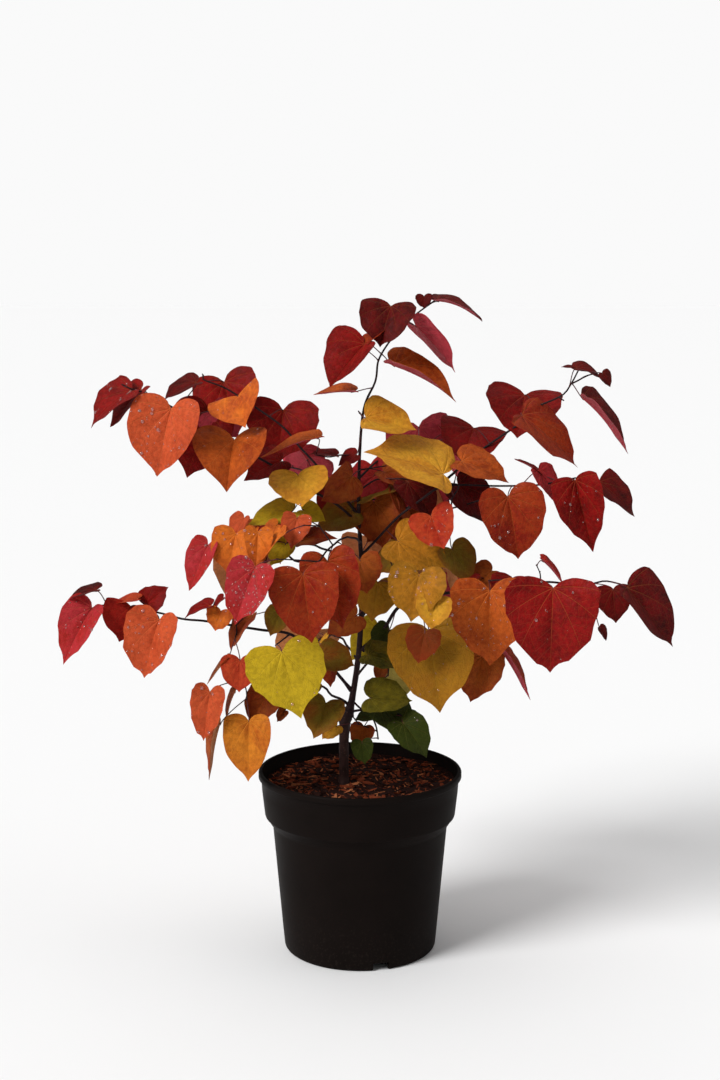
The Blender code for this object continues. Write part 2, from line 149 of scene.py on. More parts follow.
# Side twigs that show against the sky: their pixels, the depths of both ends and their radius
TWIGS = (
    Twig(((358, 456), (341, 455), (329, 457), (316, 455)), 0.003, -0.012, 0.0009),
    Twig(((359, 470), (372, 468), (385, 466)), 0.002, 0.018, 0.0009),
    Twig(((366, 424), (363, 418), (359, 412)), 0.0, -0.004, 0.0008),
    Twig(((358, 492), (375, 480), (391, 479), (408, 480), (424, 494)), 0.003, 0.012, 0.0010),
    Twig(((395, 519), (383, 502), (370, 499), (361, 497)), 0.010, 0.020, 0.0012),
    Twig(((416, 502), (438, 511), (453, 508), (481, 500)), 0.012, -0.030, 0.0011),
    Twig(((435, 489), (449, 484), (459, 486), (452, 498)), 0.012, -0.050, 0.0010),
    Twig(((561, 396), (560, 398), (563, 400)), 0.018, 0.012, 0.0010),
    Twig(((571, 384), (579, 380), (586, 376), (597, 373)), 0.018, 0.010, 0.0009),
    Twig(((290, 634), (285, 638), (276, 645)), -0.032, -0.060, 0.0010),
    Twig(((236, 626), (241, 621), (247, 617)), -0.045, -0.048, 0.0009),
    Twig(((384, 629), (388, 646), (389, 662), (388, 675)), -0.010, -0.045, 0.0011),
    Twig(((352, 700), (360, 708), (370, 714), (376, 726), (378, 738)), 0.0, -0.050, 0.0011),
)

# The leaves that show in the photograph, spray by spray: the pixels of each one's notch and tip,
# its depth behind the pot's axis, how far its tip leans to the viewer in degrees, how far it turns
# about its midrib from the viewer towards the left of a hanging leaf, its breadth against a full
# heart, the fold of its halves in degrees, its lengthwise arch, the drops of water on it, and how
# far its lobes rise above the notch against its tip.
LEAVES = (
    # Upper left
    Leaf("crimson", (131, 391), (90, 427), -0.052, 8, 64, 1.04, 14, 0.06, 20, 0.5),
    Leaf("crimson", (141, 390), (112, 429), -0.040, 8, 66, 0.9, 12),
    Leaf("coral", (171, 409), (158, 479), -0.078, 10, 22, 1.04, 20, 0.06, 60, 0.66),
    Leaf("wine", (196, 383), (163, 402), -0.056, 8, 68),
    Leaf("crimson", (224, 382), (238, 436), 0.042, 16, 6, 1.12, 14, 0.05, 0, 0.74),
    Leaf("crimson", (209, 413), (187, 479), -0.040, 8, 20, 0.9),
    Leaf("orange", (238, 396), (245, 427), -0.066, 42, 24, 1.42, 18, 0.05, 4, 0.24),
    Leaf("rose", (213, 412), (239, 438), -0.050, 8, 180, 1.0, 8),
    Leaf("copper", (234, 440), (227, 493), -0.070, 34, 12, 1.30, 26, 0.08, 10, 0.7),
    Leaf("crimson", (283, 410), (279, 464), 0.046, 12, 0, 1.32, 16, 0.05, 0, 0.78),
    Leaf("copper", (318, 438), (262, 458), -0.034, 5, 78, 0.66, 12, 0.04, 0, 0.4),
    Leaf("crimson", (281, 461), (244, 481), -0.028, 8, 46, 1.0, 12),
    Leaf("gold", (298, 475), (302, 507), -0.062, 44, 0, 1.30, 6, 0.03, 3, 0.8),
    Leaf("russet", (352, 476), (320, 501), -0.020, 20, -30, 0.9, 10, 0.05, 0, 0.4),
    Leaf("crimson", (335, 455), (309, 455), -0.012, 0, 74, 1.0, 10),
    Leaf("crimson", (356, 455), (338, 466), -0.004, 0, 50, 1.0, 10),
    # Top
    Leaf("wine", (424, 296), (424, 309), 0.000, 20, 6, 1.2),
    Leaf("wine", (438, 301), (483, 324), 0.000, 0, -84, 0.9, 12, 0.10),
    Leaf("wine", (391, 306), (380, 350), -0.012, 20, 20, 1.15, 14, 0.05, 0, 0.42),
    Leaf("rose", (416, 326), (457, 372), -0.006, 0, -112, 0.80, 8, 0.02),
    Leaf("crimson", (365, 344), (330, 391), -0.022, 6, 44, 1.12, 28, 0.05, 0, 0.42),
    Leaf("rust", (366, 346), (387, 329), -0.024, 0, -66, 0.9, 20),
    Leaf("copper", (352, 392), (313, 397), -0.010, 0, 80),
    Leaf("copper", (394, 366), (456, 401), -0.014, 0, -70, 0.74, 26),
    Leaf("gold", (366, 418), (417, 433), -0.034, 0, -52, 1.0, 16, 0.04, 0, 0.3),
    Leaf("gold", (443, 474), (362, 451), -0.052, 0, 63, 1.14, 8, 0.05, 0, 0.45),
    # Upper right
    Leaf("wine", (576, 368), (601, 380), 0.012, 0, -74, 1.0, 12, 0.10),
    Leaf("wine", (579, 370), (561, 367), 0.016, 0, 80, 1.0, 10),
    Leaf("wine", (602, 373), (610, 387), 0.008, 0, -46, 1.0, 12, 0.05, 0, 0.4),
    Leaf("wine", (583, 399), (626, 456), 0.012, 0, -82, 0.80, 18, 0.06, 0, 0.4),
    Leaf("crimson", (525, 395), (517, 439), 0.058, 40, 2, 1.28, 12),
    Leaf("crimson", (474, 428), (461, 465), 0.052, 44, 6, 1.20, 12, 0.05, 0, 0.34),
    Leaf("rust", (522, 415), (577, 472), -0.012, 4, -66, 0.98, 8, 0.06, 0, 0.3),
    Leaf("copper", (462, 461), (510, 484), -0.014, 8, -58, 1.0, 10),
    Leaf("rust", (508, 497), (519, 563), -0.048, 8, -14, 0.98, 18, 0.04, 12, 0.68),
    Leaf("rose", (539, 471), (557, 505), -0.026, 6, -58, 0.95, 10),
    Leaf("crimson", (539, 473), (513, 459), -0.022, 0, 82, 0.6, 12),
    Leaf("crimson", (575, 480), (593, 552), -0.040, 6, 2, 0.86, 34, 0.04, 12, 0.34),
    Leaf("wine", (599, 482), (636, 517), -0.026, 4, -60, 0.9, 12, 0.05, 0, 0.15),
    Leaf("wine", (458, 485), (492, 526), -0.004, 6, -46, 1.0, 10),
    Leaf("vermilion", (431, 516), (445, 551), -0.078, 30, 4, 1.16, 20, 0.04, 18, 0.68),
    # Deep in the middle
    Leaf("rose", (374, 476), (346, 503), 0.032, 14, 18),
    Leaf("rose", (388, 466), (368, 482), 0.038, 10, 24),
    Leaf("rose", (404, 488), (388, 520), 0.030, 14, 10),
    Leaf("russet", (384, 472), (414, 494), 0.022, 8, -52),
    Leaf("olive", (363, 498), (405, 487), 0.016, 0, -64),
    Leaf("wine", (408, 482), (433, 518), 0.004, 8, -36),
    Leaf("russet", (374, 502), (384, 549), 0.014, 14, 8),
    Leaf("russet", (404, 514), (398, 550), 0.020, 14, -12),
    Leaf("russet", (384, 524), (366, 543), 0.030, 10, 16, 0.9),
    Leaf("olive", (352, 511), (316, 530), 0.006, 8, 30),
    Leaf("crimson", (338, 490), (318, 512), 0.024, 8, 20),
    # Middle left
    Leaf("coral", (244, 518), (233, 545), -0.084, 6, 56),
    Leaf("rose", (208, 545), (190, 592), -0.104, 8, 34, 0.64, 20, 0.04, 12, 0.55),
    Leaf("orange", (236, 534), (228, 577), -0.106, 14, 12, 1.0, 14, 0.04, 12),
    Leaf("orange", (258, 532), (256, 569), -0.116, 22, -8, 0.74, 16, 0.04, 12),
    Leaf("orange", (284, 534), (259, 568), -0.122, 0, 78, 0.8, 12),
    Leaf("orange", (277, 525), (262, 536), -0.092, 0, 50, 1.0, 12),
    Leaf("rose", (255, 567), (234, 627), -0.154, 8, 12, 0.74, 18, 0.04, 80, 0.42),
    Leaf("coral", (297, 518), (291, 549), -0.096, 22, 0, 0.9, 14, 0.04, 8),
    Leaf("lime", (291, 512), (248, 527), -0.058, 8, 60, 1.0, 10),
    Leaf("lime", (303, 510), (325, 522), -0.050, 8, -40, 1.0, 10),
    Leaf("lime", (286, 544), (270, 566), -0.084, 8, 30, 0.9, 8),
    Leaf("russet", (301, 541), (337, 539), -0.064, 0, -62, 1.0, 12),
    Leaf("rust", (303, 574), (312, 643), -0.143, 5, 4, 1.0, 18, 0.05, 10, 0.55),
    Leaf("rust", (328, 561), (343, 629), -0.126, 6, 4, 0.84, 18, 0.05, 8, 0.74),
    Leaf("russet", (360, 560), (367, 595), -0.094, 18, -8, 1.08, 10, 0.05, 0, 0.74),
    Leaf("ochre", (378, 582), (372, 623), -0.074, 14, 2, 1.02, 10, 0.05, 0, 0.55),
    Leaf("russet", (356, 616), (326, 636), -0.060, 6, 24, 0.9, 8),
    Leaf("lime", (282, 652), (301, 718), -0.100, 5, 2, 1.06, 7, 0.04, 6, 0.66),
    Leaf("olive", (322, 655), (356, 667), -0.060, 10, -34, 1.0, 10),
    Leaf("russet", (331, 660), (331, 688), -0.052, 8, 40, 0.8, 12),
    Leaf("olive", (326, 703), (313, 740), -0.070, 30, 4, 1.0, 18),
    Leaf("olive", (318, 684), (313, 695), -0.060, 0, 30),
    Leaf("gold", (337, 726), (322, 740), -0.056, 6, 30),
    Leaf("russet", (364, 727), (358, 750), -0.044, 8, 14),
    Leaf("olive", (281, 612), (270, 636), -0.058, 6, 22),
    # Lower left
    Leaf("amber", (249, 721), (249, 781), -0.066, 6, 14, 0.80, 18, 0.04, 0, 0.5),
    Leaf("coral", (210, 692), (203, 743), -0.070, 6, 14, 0.66, 16, 0.02, 8),
    Leaf("vermilion", (240, 660), (239, 693), -0.080, 18, 6, 1.08, 10),
    Leaf("russet", (227, 660), (208, 686), -0.072, 0, 84, 0.7, 12),
    Leaf("russet", (235, 692), (227, 721), -0.060, 0, 80, 0.7),
    Leaf("russet", (220, 724), (212, 783), -0.060, 0, 80, 0.6, 20, 0.04),
    Leaf("russet", (268, 694), (249, 724), -0.046, 6, 22, 1.0, 10),
    Leaf("russet", (285, 711), (277, 722), -0.046, 0, 40),
    # Low bough on the left
    Leaf("wine", (96, 590), (65, 602), -0.062, 0, 77, 1.0, 10),
    Leaf("rose", (92, 608), (63, 665), -0.066, 6, 32, 0.74, 26, 0.05, 24, 0.5),
    Leaf("coral", (159, 620), (144, 681), -0.072, 6, 28, 1.0, 24, 0.05, 40, 0.66),
    Leaf("scarlet", (131, 606), (119, 642), -0.052, 10, 0, 1.3, 12, 0.05, 0, 0.3),
    Leaf("crimson", (146, 605), (169, 587), -0.040, 0, -24, 0.95, 10, 0.05, 0, 0.4),
    Leaf("vermilion", (137, 599), (110, 606), -0.050, 0, 74, 0.9, 10),
    Leaf("crimson", (210, 606), (184, 618), -0.056, 0, 72),
    Leaf("crimson", (223, 598), (213, 611), -0.054, 0, 70),
    Leaf("orange", (221, 611), (215, 632), -0.060, 18, 8, 1.2, 12, 0.05, 4),
    Leaf("russet", (252, 615), (230, 653), -0.052, 0, 64, 0.9, 16),
    # Middle right
    Leaf("bronze", (419, 575), (411, 622), -0.159, 8, 6, 1.2, 16, 0.05, 30, 0.85),
    Leaf("gold", (435, 601), (431, 630), -0.168, 16, 4, 1.24, 18, 0.03, 8, 0.8),
    Leaf("bronze", (398, 541), (447, 569), -0.066, 10, -34, 1.0, 10),
    Leaf("olive", (402, 552), (379, 575), -0.034, 8, 30),
    Leaf("olive", (452, 549), (471, 583), -0.062, 8, -34, 1.0, 8),
    Leaf("russet", (492, 571), (470, 592), -0.056, 8, 26, 1.0, 8),
    Leaf("crimson", (478, 577), (462, 581), -0.070, 0, 68, 0.8, 10),
    Leaf("copper", (490, 591), (490, 667), -0.112, 8, 4, 1.06, 18, 0.05, 60, 0.72),
    Leaf("crimson", (553, 588), (550, 676), -0.132, 6, 0, 1.02, 14, 0.05, 10, 0.48),
    Leaf("crimson", (512, 578), (505, 614), -0.080, 14, 4, 1.0, 8, 0.05, 0, 0.4),
    Leaf("scarlet", (543, 561), (564, 588), -0.080, 0, -82, 0.7, 16),
    Leaf("wine", (613, 589), (616, 624), -0.038, 10, 4, 0.95, 12, 0.05, 0, 0.5),
    Leaf("wine", (627, 588), (671, 650), -0.050, 4, -58, 0.95, 18, 0.04, 0, 0.36),
    Leaf("ochre", (429, 630), (440, 713), -0.094, 6, 0, 1.0, 18, 0.05, 14, 0.5),
    Leaf("umber", (425, 632), (418, 665), -0.118, 8, 4),
    Leaf("russet", (483, 655), (470, 704), -0.084, 6, 8, 0.92, 12),
    Leaf("rust", (504, 655), (529, 702), -0.080, 0, -82, 0.6, 20, 0.03),
    Leaf("wine", (600, 628), (606, 641), -0.044, 0, -60),
    # Low right
    Leaf("moss", (368, 655), (407, 669), -0.052, 6, -52, 1.0, 12),
    Leaf("lime", (378, 630), (352, 661), 0.018, 8, 30),
    Leaf("green", (389, 630), (372, 651), -0.014, 6, 34),
    Leaf("moss", (370, 698), (414, 702), -0.068, 4, -40, 1.0, 12),
    Leaf("green", (382, 715), (354, 721), -0.044, 4, 58),
    Leaf("green", (380, 707), (417, 739), -0.048, 4, -44),
    Leaf("green", (403, 723), (427, 758), -0.078, 12, -14, 0.86, 16, 0.12, 4, 0.75),
    Leaf("green", (362, 742), (365, 765), -0.068, 10, 8, 0.92),
    Leaf("russet", (384, 666), (378, 683), -0.032, 0, 40),
)

# Sprays that the photograph hides, behind and inside the crown: the middle of each, half its width,
# depth and height, the tints of its leaves and their number
SPRAYS = (
    # High at the back
    Spray((-0.095, 0.120, 0.548), (0.055, 0.062, 0.046), ("vermilion", "orange", "scarlet"), 14),
    Spray((0.090, 0.122, 0.566), (0.052, 0.062, 0.048), ("crimson", "wine", "scarlet"), 14),
    # Half way up the back
    Spray((-0.110, 0.138, 0.440), (0.060, 0.066, 0.050), ("orange", "vermilion", "amber"), 15),
    Spray((0.004, 0.172, 0.415), (0.052, 0.064, 0.056), ("gold", "amber", "orange"), 16),
    Spray((0.120, 0.128, 0.415), (0.058, 0.066, 0.052), ("vermilion", "orange", "scarlet"), 15),
    # Low at the back
    Spray((-0.055, 0.116, 0.315), (0.048, 0.058, 0.044), ("lime", "olive", "gold"), 12),
    Spray((0.065, 0.112, 0.299), (0.048, 0.058, 0.044), ("moss", "lime", "green"), 12),
    # Inside the crown
    Spray((0.050, 0.052, 0.520), (0.060, 0.030, 0.036), ("crimson", "russet"), 5),
    Spray((0.000, 0.070, 0.455), (0.050, 0.040, 0.030), ("ochre", "russet"), 5),
)

# Windows of open sky in and round the crown, in pixels of the photograph: left, top, right, bottom.
# A hidden leaf that would close one doesn't grow.
SKY = (
    (337, 531, 360, 551), (363, 541, 384, 555), (290, 538, 324, 572), (352, 603, 362, 615),
    (363, 606, 398, 626), (318, 632, 358, 642), (336, 670, 356, 692), (276, 636, 285, 650),
    (457, 498, 492, 565), (222, 482, 285, 510), (420, 716, 520, 770), (448, 704, 520, 730),
    (342, 400, 365, 452), (370, 430, 432, 452), (300, 400, 348, 438), (255, 690, 300, 760),
    (440, 664, 460, 770), (272, 722, 306, 780), (500, 500, 520, 580), (388, 680, 420, 690),
)

# The record's masses of leaves, and the tint of most of the leaves that grow in each one's place
MASSES = {
    "tip": "wine", "top_left": "crimson", "top_right": "copper", "gold": "gold", "left_far": "crimson",
    "left_upper": "crimson", "left_inner": "crimson", "right_far": "wine", "right_upper": "crimson",
    "right_inner": "crimson", "right_mid": "rust", "right_outer": "crimson", "centre_upper": "russet",
    "left_mid": "orange", "front_left": "rust", "centre_low": "moss", "front_right": "ochre",
    "right_low": "russet", "right_lower": "crimson", "right_tip": "wine", "left_low": "russet",
    "left_lower": "scarlet", "left_tip": "rose", "lime": "lime", "left_droop": "russet",
    "low_left": "russet", "low_right": "green", "back_left_high": "vermilion",
    "back_right_high": "wine", "back_left_mid": "amber", "back_centre": "gold",
    "back_right_mid": "orange", "back_left_low": "gold", "back_right_low": "lime",
}

# The name of the record's leaf slot listed for each tint, the tint of its underside, and the tint
# that flushes it in patches
TINTS = {
    "wine": ("leaf_wine", "rose_back", "dusk"),
    "crimson": ("leaf_crimson", "rose_back", "wine"),
    "scarlet": ("leaf_crimson", "rose_back", "crimson"),
    "rose": ("leaf_crimson", "rose_back", "scarlet"),
    "vermilion": ("leaf_orange", "rose_back", "scarlet"),
    "coral": ("leaf_orange", "rose_back", "vermilion"),
    "orange": ("leaf_orange", "buff_back", "vermilion"),
    "copper": ("leaf_orange", "rose_back", "rust"),
    "rust": ("leaf_orange", "rose_back", "crimson"),
    "russet": ("leaf_orange", "buff_back", "crimson"),
    "umber": ("leaf_orange", "buff_back", "rust"),
    "amber": ("leaf_gold", "buff_back", "copper"),
    "gold": ("leaf_gold", "buff_back", "amber"),
    "bronze": ("leaf_gold", "buff_back", "ochre"),
    "ochre": ("leaf_gold", "buff_back", "bronze"),
    "lime": ("leaf_lime", "green_back", "lime"),
    "moss": ("leaf_green", "green_back", "green"),
    "olive": ("leaf_green", "green_back", "russet"),
    "green": ("leaf_green", "green_back", "green"),
}

# Half of a heart-shaped blade: how far its margin lies from the notch at each angle from the tip,
# for a midrib of length 1. The main veins leave the notch at even angles.
MARGIN = (
    (0, 1.000), (2.5, 0.945), (7, 0.885), (14, 0.840), (24, 0.790), (38, 0.718), (52, 0.655), (66, 0.612),
    (80, 0.575), (94, 0.545), (108, 0.520), (121, 0.475), (133, 0.400), (144, 0.295), (153, 0.170),
)
VEIN_ANGLE = 34
# How deep the margin dips between its blunt corners, and the angle from corner to corner
CORNERS = (0.010, 0.050)
CORNER_STEP = 25
# Faces round and along a blade that shows in the photograph, and one that doesn't
SHOWN_GRID = (56, 9)
HIDDEN_GRID = (22, 6)
# Of the hidden blades: the turn from each to the next in a spray, and the ranges of length and fold
SPIRAL_TURN = 2.4
HIDDEN_LENGTH = (0.052, 0.082)
HIDDEN_FOLD = (10, 22)

# Of the boughs: the distance between stations, the radius at the tip, the sway from bud to bud, and
# the swelling at the fork
BOUGH_STEP = 0.005
BOUGH_TIP = 0.0009
SWAY = 0.0010
COLLAR_SWELL = 0.55
COLLAR_REACH = 0.006
# From bud to bud along a shoot, how far each length of it bows out, and the radii of wood and buds
SHOOT_STEP = 0.018
SHOOT_BOW = 0.0016
SHOOT_RADIUS = 0.0009
BUD_RADIUS = 0.0011
SIDE_BUD_RADIUS = 0.0008

# What a stalk costs while a blade looks for its place on the wood: for each metre that it is too
# short, for crossing the blade, and for having less than the least room
SHORT_STALK = 0.3
CROSSING = 0.012
NO_ROOM = 0.02
ROOM = 0.004

# The rough graft union on the trunk, the top of the stock's lumps, and where and how softly the
# colour of the bark changes
UNION_HEIGHT = 0.275
UNION_SPREAD = 0.016
OLD_BARK_TOP = 0.285
BARK_CHANGE = 0.288
BARK_SPREAD = 0.012

# How deep the cutters of the notches and the drain holes are, and how far they start under the floor
NOTCH_CUT = 0.016
HOLE_CUT = 0.012
CUT_SPARE = 0.010
# The gap between the mix and the wall of the pot, how near to the middle of the trunk's foot a chip
# may lie, and how far from the pot's axis its corners may reach
FIT_GAP = 0.0004
CHIP_CLEARANCE = 0.014
CHIP_REACH = 0.1137
# Each kind of chip: its share of them all, and its girth against a peat chip's
CHIP_KINDS = {"peat_chips": (0.30, 1.0), "bark_chips": (0.52, 0.9), "wood_fibres": (0.18, 0.45)}


def colour(name, description, rgb):
    return FloatVectorProperty(
        name=name, description=description, default=rgb, size=3, subtype="COLOR", min=0.0, max=1.0
    )


def size(name, description, metres):
    return FloatProperty(
        name=name, description=description, default=metres, unit="LENGTH", precision=4, min=0.0
    )


def plain(name, description, value):
    return FloatProperty(name=name, description=description, default=value)


class StageSettings(bpy.types.PropertyGroup):
    """The camera, the light and the floor."""

    camera_distance: size("Camera distance", "From the pot's axis to the camera", 2.027)
    camera_height: size("Camera height", "Above the floor", 0.811)
    camera_pitch: FloatProperty(
        name="Camera pitch", description="Below the horizon", default=math.radians(9.0), subtype="ANGLE"
    )
    focal_length: plain("Focal length", "Of the lens, in millimetres", 59.0)
    key: plain("Key light", "Strength of the soft light at the left", 3.0)
    fill: plain("Fill light", "Strength of the light at the right", 0.4)
    top: plain("Top light", "Strength of the light overhead", 0.8)
    ambient: plain("Ambient light", "Strength of the light all round", 0.28)
    backdrop: plain("Backdrop", "Brightness of the plain background", 0.955)
    floor_size: size("Floor size", "Side of the square floor", 60.0)
    floor_colour: colour("Floor colour", "Of the plain pale floor", (0.86, 0.86, 0.86))


class PotSettings(bpy.types.PropertyGroup):
    """The plastic nursery pot."""

    height: size("Height", "From the floor to the top of the rim", 0.216)
    rim_radius: size("Rim radius", "To the outside of the rolled rim", 0.120)
    rim_band: size("Rim band", "Height of the rolled rim", 0.0085)
    collar_top: size("Collar top radius", "Just under the rim", 0.117)
    collar_foot: size("Collar foot radius", "At the collar's lower edge", 0.1127)
    collar_height: size("Collar foot height", "Of the collar's lower edge", 0.163)
    body_top: size("Body top radius", "Where the body meets the collar", 0.1035)
    body_height: size("Body top height", "Where the body meets the collar", 0.152)
    base_radius: size("Base radius", "Outside the skirt", 0.090)
    wall: size("Wall", "Thickness of the plastic", 0.0018)
    underside: size("Underside", "How far the floor of the pot is raised on its skirt", 0.0105)
    skirt: size("Skirt", "Thickness of the skirt", 0.006)
    pad: size("Pad radius", "Of the flat pad in the middle of the underside", 0.030)
    pad_slope: size("Pad slope", "How far the pad's side slopes out", 0.006)
    notches: IntProperty(name="Notches", description="Through the skirt", default=3, min=1)
    notch_width: size("Notch width", "Along the skirt", 0.019)
    notch_height: size("Notch height", "Above the floor", 0.0097)
    notch_turn: FloatProperty(
        name="Notch turn", description="Of the first notch from the front", default=math.radians(15.7),
        subtype="ANGLE",
    )
    hole_radius: size("Hole radius", "Of the drain holes", 0.004)
    hole_reach: size("Hole reach", "From the pot's axis to each drain hole", 0.060)
    plastic: colour("Plastic", "Of the black pot", (0.0060, 0.0040, 0.0034))


class MixSettings(bpy.types.PropertyGroup):
    """The potting mix, and the chips and fibres on it."""

    top: size("Top", "Mean height of the surface", 0.2000)
    relief: size("Relief", "Height of its lumps and hollows", 0.0034)
    chips: IntProperty(name="Chips", description="Bark chips and fibres on the surface", default=1500)
    dark: colour("Dark mix", "Of the peat", (0.013, 0.0036, 0.0024))
    red: colour("Red chips", "Of fresh bark", (0.130, 0.027, 0.010))
    tan: colour("Tan chips", "Of split wood fibres", (0.300, 0.100, 0.040))


class WoodSettings(bpy.types.PropertyGroup):
    """The trunk, boughs, twigs and leaf stalks."""

    old_bark: colour("Old bark", "Of the stock below the graft", (0.026, 0.0105, 0.0088))
    young_bark: colour("Young bark", "Of the leader and boughs", (0.016, 0.0060, 0.0070))
    stalk: colour("Stalks", "Of the leaf stalks", (0.070, 0.014, 0.016))
    ring_step: size("Ring step", "Between the rings of the trunk", 0.0028)
    stalk_length: size("Stalk length", "From a twig to a leaf's notch", 0.026)
    stalk_radius: size("Stalk radius", "In the middle of a leaf stalk", 0.0006)
    seed: IntProperty(name="Seed", description="Of the branching", default=11)


class LeafSettings(bpy.types.PropertyGroup):
    """The blades and their autumn tints."""

    thickness: size("Thickness", "Of a blade", 0.0004)
    fold: plain("Fold", "How deeply blades fold along their midribs, against their own fold", 1.35)
    quilt: plain("Quilt", "Height of a blade between its veins, as a share of the midrib", 0.012)
    ripple: plain("Ripple", "Of the margin, as a share of the midrib", 0.020)
    dusk: colour("Dusk", "Darkest tint of the tips", (0.034, 0.0016, 0.0026))
    wine: colour("Wine", "Tint at the tips of the crown", (0.120, 0.0028, 0.0036))
    crimson: colour("Crimson", "Tint of the outer leaves", (0.230, 0.0050, 0.0050))
    scarlet: colour("Scarlet", "Tint of the outer leaves", (0.440, 0.0180, 0.0120))
    vermilion: colour("Vermilion", "Tint half way in", (0.480, 0.0580, 0.0180))
    coral: colour("Coral", "Tint half way in", (0.520, 0.0780, 0.0250))
    orange: colour("Orange", "Tint half way in", (0.680, 0.1600, 0.0180))
    copper: colour("Copper", "Tint half way in", (0.450, 0.0840, 0.0110))
    rust: colour("Rust", "Tint half way in", (0.280, 0.0300, 0.0060))
    # Russet is partly painted shade: the inner leaves' own dark orange-brown, darkened for the shade deep in
    # the crown.
    russet: colour("Russet", "Tint of shaded inner leaves", (0.300, 0.0650, 0.0090))
    # Umber is painted shade: a brown darkened to stand for the shade on inner leaves that the light doesn't
    # darken enough.
    umber: colour("Umber", "Tint of shaded inner leaves", (0.150, 0.0250, 0.0040))
    amber: colour("Amber", "Tint of the inner leaves", (0.560, 0.1800, 0.0160))
    gold: colour("Gold", "Tint of the inner leaves", (0.600, 0.2900, 0.0220))
    bronze: colour("Bronze", "Tint of the inner leaves", (0.400, 0.1500, 0.0110))
    ochre: colour("Ochre", "Tint of the inner leaves", (0.250, 0.1120, 0.0065))
    lime: colour("Lime", "Tint of the lowest leaves", (0.500, 0.3350, 0.0130))
    moss: colour("Moss", "Tint of the lowest leaves", (0.160, 0.1250, 0.0090))
    olive: colour("Olive", "Tint of the lowest leaves", (0.150, 0.0950, 0.0080))
    green: colour("Green", "Tint of the lowest leaves", (0.026, 0.0360, 0.0040))
    rose: colour("Rose", "Tint of the pinkest leaves", (0.400, 0.0260, 0.0340))
    rose_back: colour("Rose underside", "Under the red leaves", (0.440, 0.0420, 0.0600))
    buff_back: colour("Buff underside", "Under the golden leaves", (0.520, 0.1900, 0.0700))
    green_back: colour("Green underside", "Under the green leaves", (0.300, 0.2300, 0.0500))


GROUPS = {
    "stage": StageSettings, "pot": PotSettings, "mix": MixSettings, "wood": WoodSettings,
    "leaves": LeafSettings,
}


def settings(group):
    return getattr(bpy.context.scene, f"redbud_{group}")


def adder(tree):
    """A function that adds a shader node with its settings, and links or sets its inputs."""

    def add(kind, inputs, **choices):
        node = tree.nodes.new(f"ShaderNode{kind}")
        for key, value in choices.items():
            setattr(node, key, value)
        for key, value in inputs.items():
            if isinstance(value, bpy.types.NodeSocket):
                tree.links.new(value, node.inputs[key])
            else:
                node.inputs[key].default_value = value
        return node.outputs

    return add


def calc(add, operation, a, b, c=0.0):
    return add("Math", {0: a, 1: b, 2: c}, operation=operation)[0]


def blend(add, factor, a, b):
    """Colour a turning into colour b by the factor."""
    return add("Mix", {0: factor, 6: a, 7: b}, data_type="RGBA")[2]


def rise(add, value, start, end):
    """0 where the value is at or below start, rising smoothly to 1 at end."""
    return add(
        "MapRange", {"Value": value, "From Min": start, "From Max": end}, interpolation_type="SMOOTHSTEP"
    )["Result"]


def fade(add, value, start, end):
    """1 where the value is at or below start, sinking smoothly to 0 at end."""
    return calc(add, "SUBTRACT", 1.0, rise(add, value, start, end))


def clouds(add, coords, scale, detail):
    """Soft noise from 0 to 1."""
    return add("TexNoise", {"Vector": coords, "Scale": scale, "Detail": detail})["Fac"]


def solid(rgb, factor=1.0):
    """An opaque colour, made lighter or darker by a factor."""
    return (*[min(1.0, part * factor) for part in rgb], 1.0)


def new_material(name, roughness, specular):
    """A material with its plain numbers set on the shader's own sockets, and what adds its nodes."""
    material = bpy.data.materials.new(name)
    material.use_nodes = True
    shader = material.node_tree.nodes["Principled BSDF"].inputs
    shader["Roughness"].default_value = roughness
    shader["Specular IOR Level"].default_value = specular
    return material, shader, adder(material.node_tree)


def connect(material, output, socket):
    material.node_tree.links.new(output, socket)


def roughen(material, shader, add, height, strength, depth, sunk=False):
    """Relief on a material, raised or sunk by a height."""
    bump = add("Bump", {"Strength": strength, "Distance": depth, "Height": height}, invert=sunk)
    connect(material, bump["Normal"], shader["Normal"])


def mesh_object(bm, name):
    """An object at the origin from a bmesh, which it frees."""
    mesh = bpy.data.meshes.new(name)
    bm.to_mesh(mesh)
    bm.free()
    made = bpy.data.objects.new(name, mesh)
    bpy.context.collection.objects.link(made)
    return made


def finish_mesh(bm, name, materials, slot, nodes=(), sharp=40):
    """A piece of the plant from a bmesh, riding on its one body."""
    piece = mesh_object(bm, name)
    piece.data.shade_smooth()
    piece.data.set_sharp_from_angle(angle=math.radians(sharp))
    for material in materials:
        piece.data.materials.append(material)
    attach(piece, BODY)
    if nodes:
        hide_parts(*nodes)
    return piece


def joined(parts):
    """One bmesh of many small ones, which it frees."""
    total = bmesh.new()
    for bm in parts:
        mesh = bpy.data.meshes.new("part")
        bm.to_mesh(mesh)
        bm.free()
        total.from_mesh(mesh)
        bpy.data.meshes.remove(mesh)
    return total


def smooth_path(stations, steps):
    """Stations on a smooth curve that runs through all the given ones."""
    ends = [stations[0], *stations, stations[-1]]
    path = []
    for before, a, b, after in zip(ends, ends[1:], ends[2:], ends[3:]):
        for i in range(steps):
            t = i / steps
            path.append([
                0.5 * (2 * q + (r - p) * t + (2 * p - 5 * q + 4 * r - s) * t**2
                       + (3 * q - p - 3 * r + s) * t**3)
                for p, q, r, s in zip(before, a, b, after)
            ])
    path.append(list(stations[-1]))
    return path


def along_path(path, wanted):
    """The stations of a path at the wanted shares of its length, from 0 to 1."""
    places = [Vector(p) for p in path]
    reached = [0.0]
    for a, b in zip(places, places[1:]):
        reached.append(reached[-1] + (b - a).length)
    found = []
    i = 0
    for share in wanted:
        goal = share * reached[-1]
        while i < len(places) - 2 and reached[i + 1] < goal:
            i += 1
        t = (goal - reached[i]) / max(reached[i + 1] - reached[i], 1e-9)
        found.append(places[i].lerp(places[i + 1], min(1.0, max(0.0, t))))
    return found


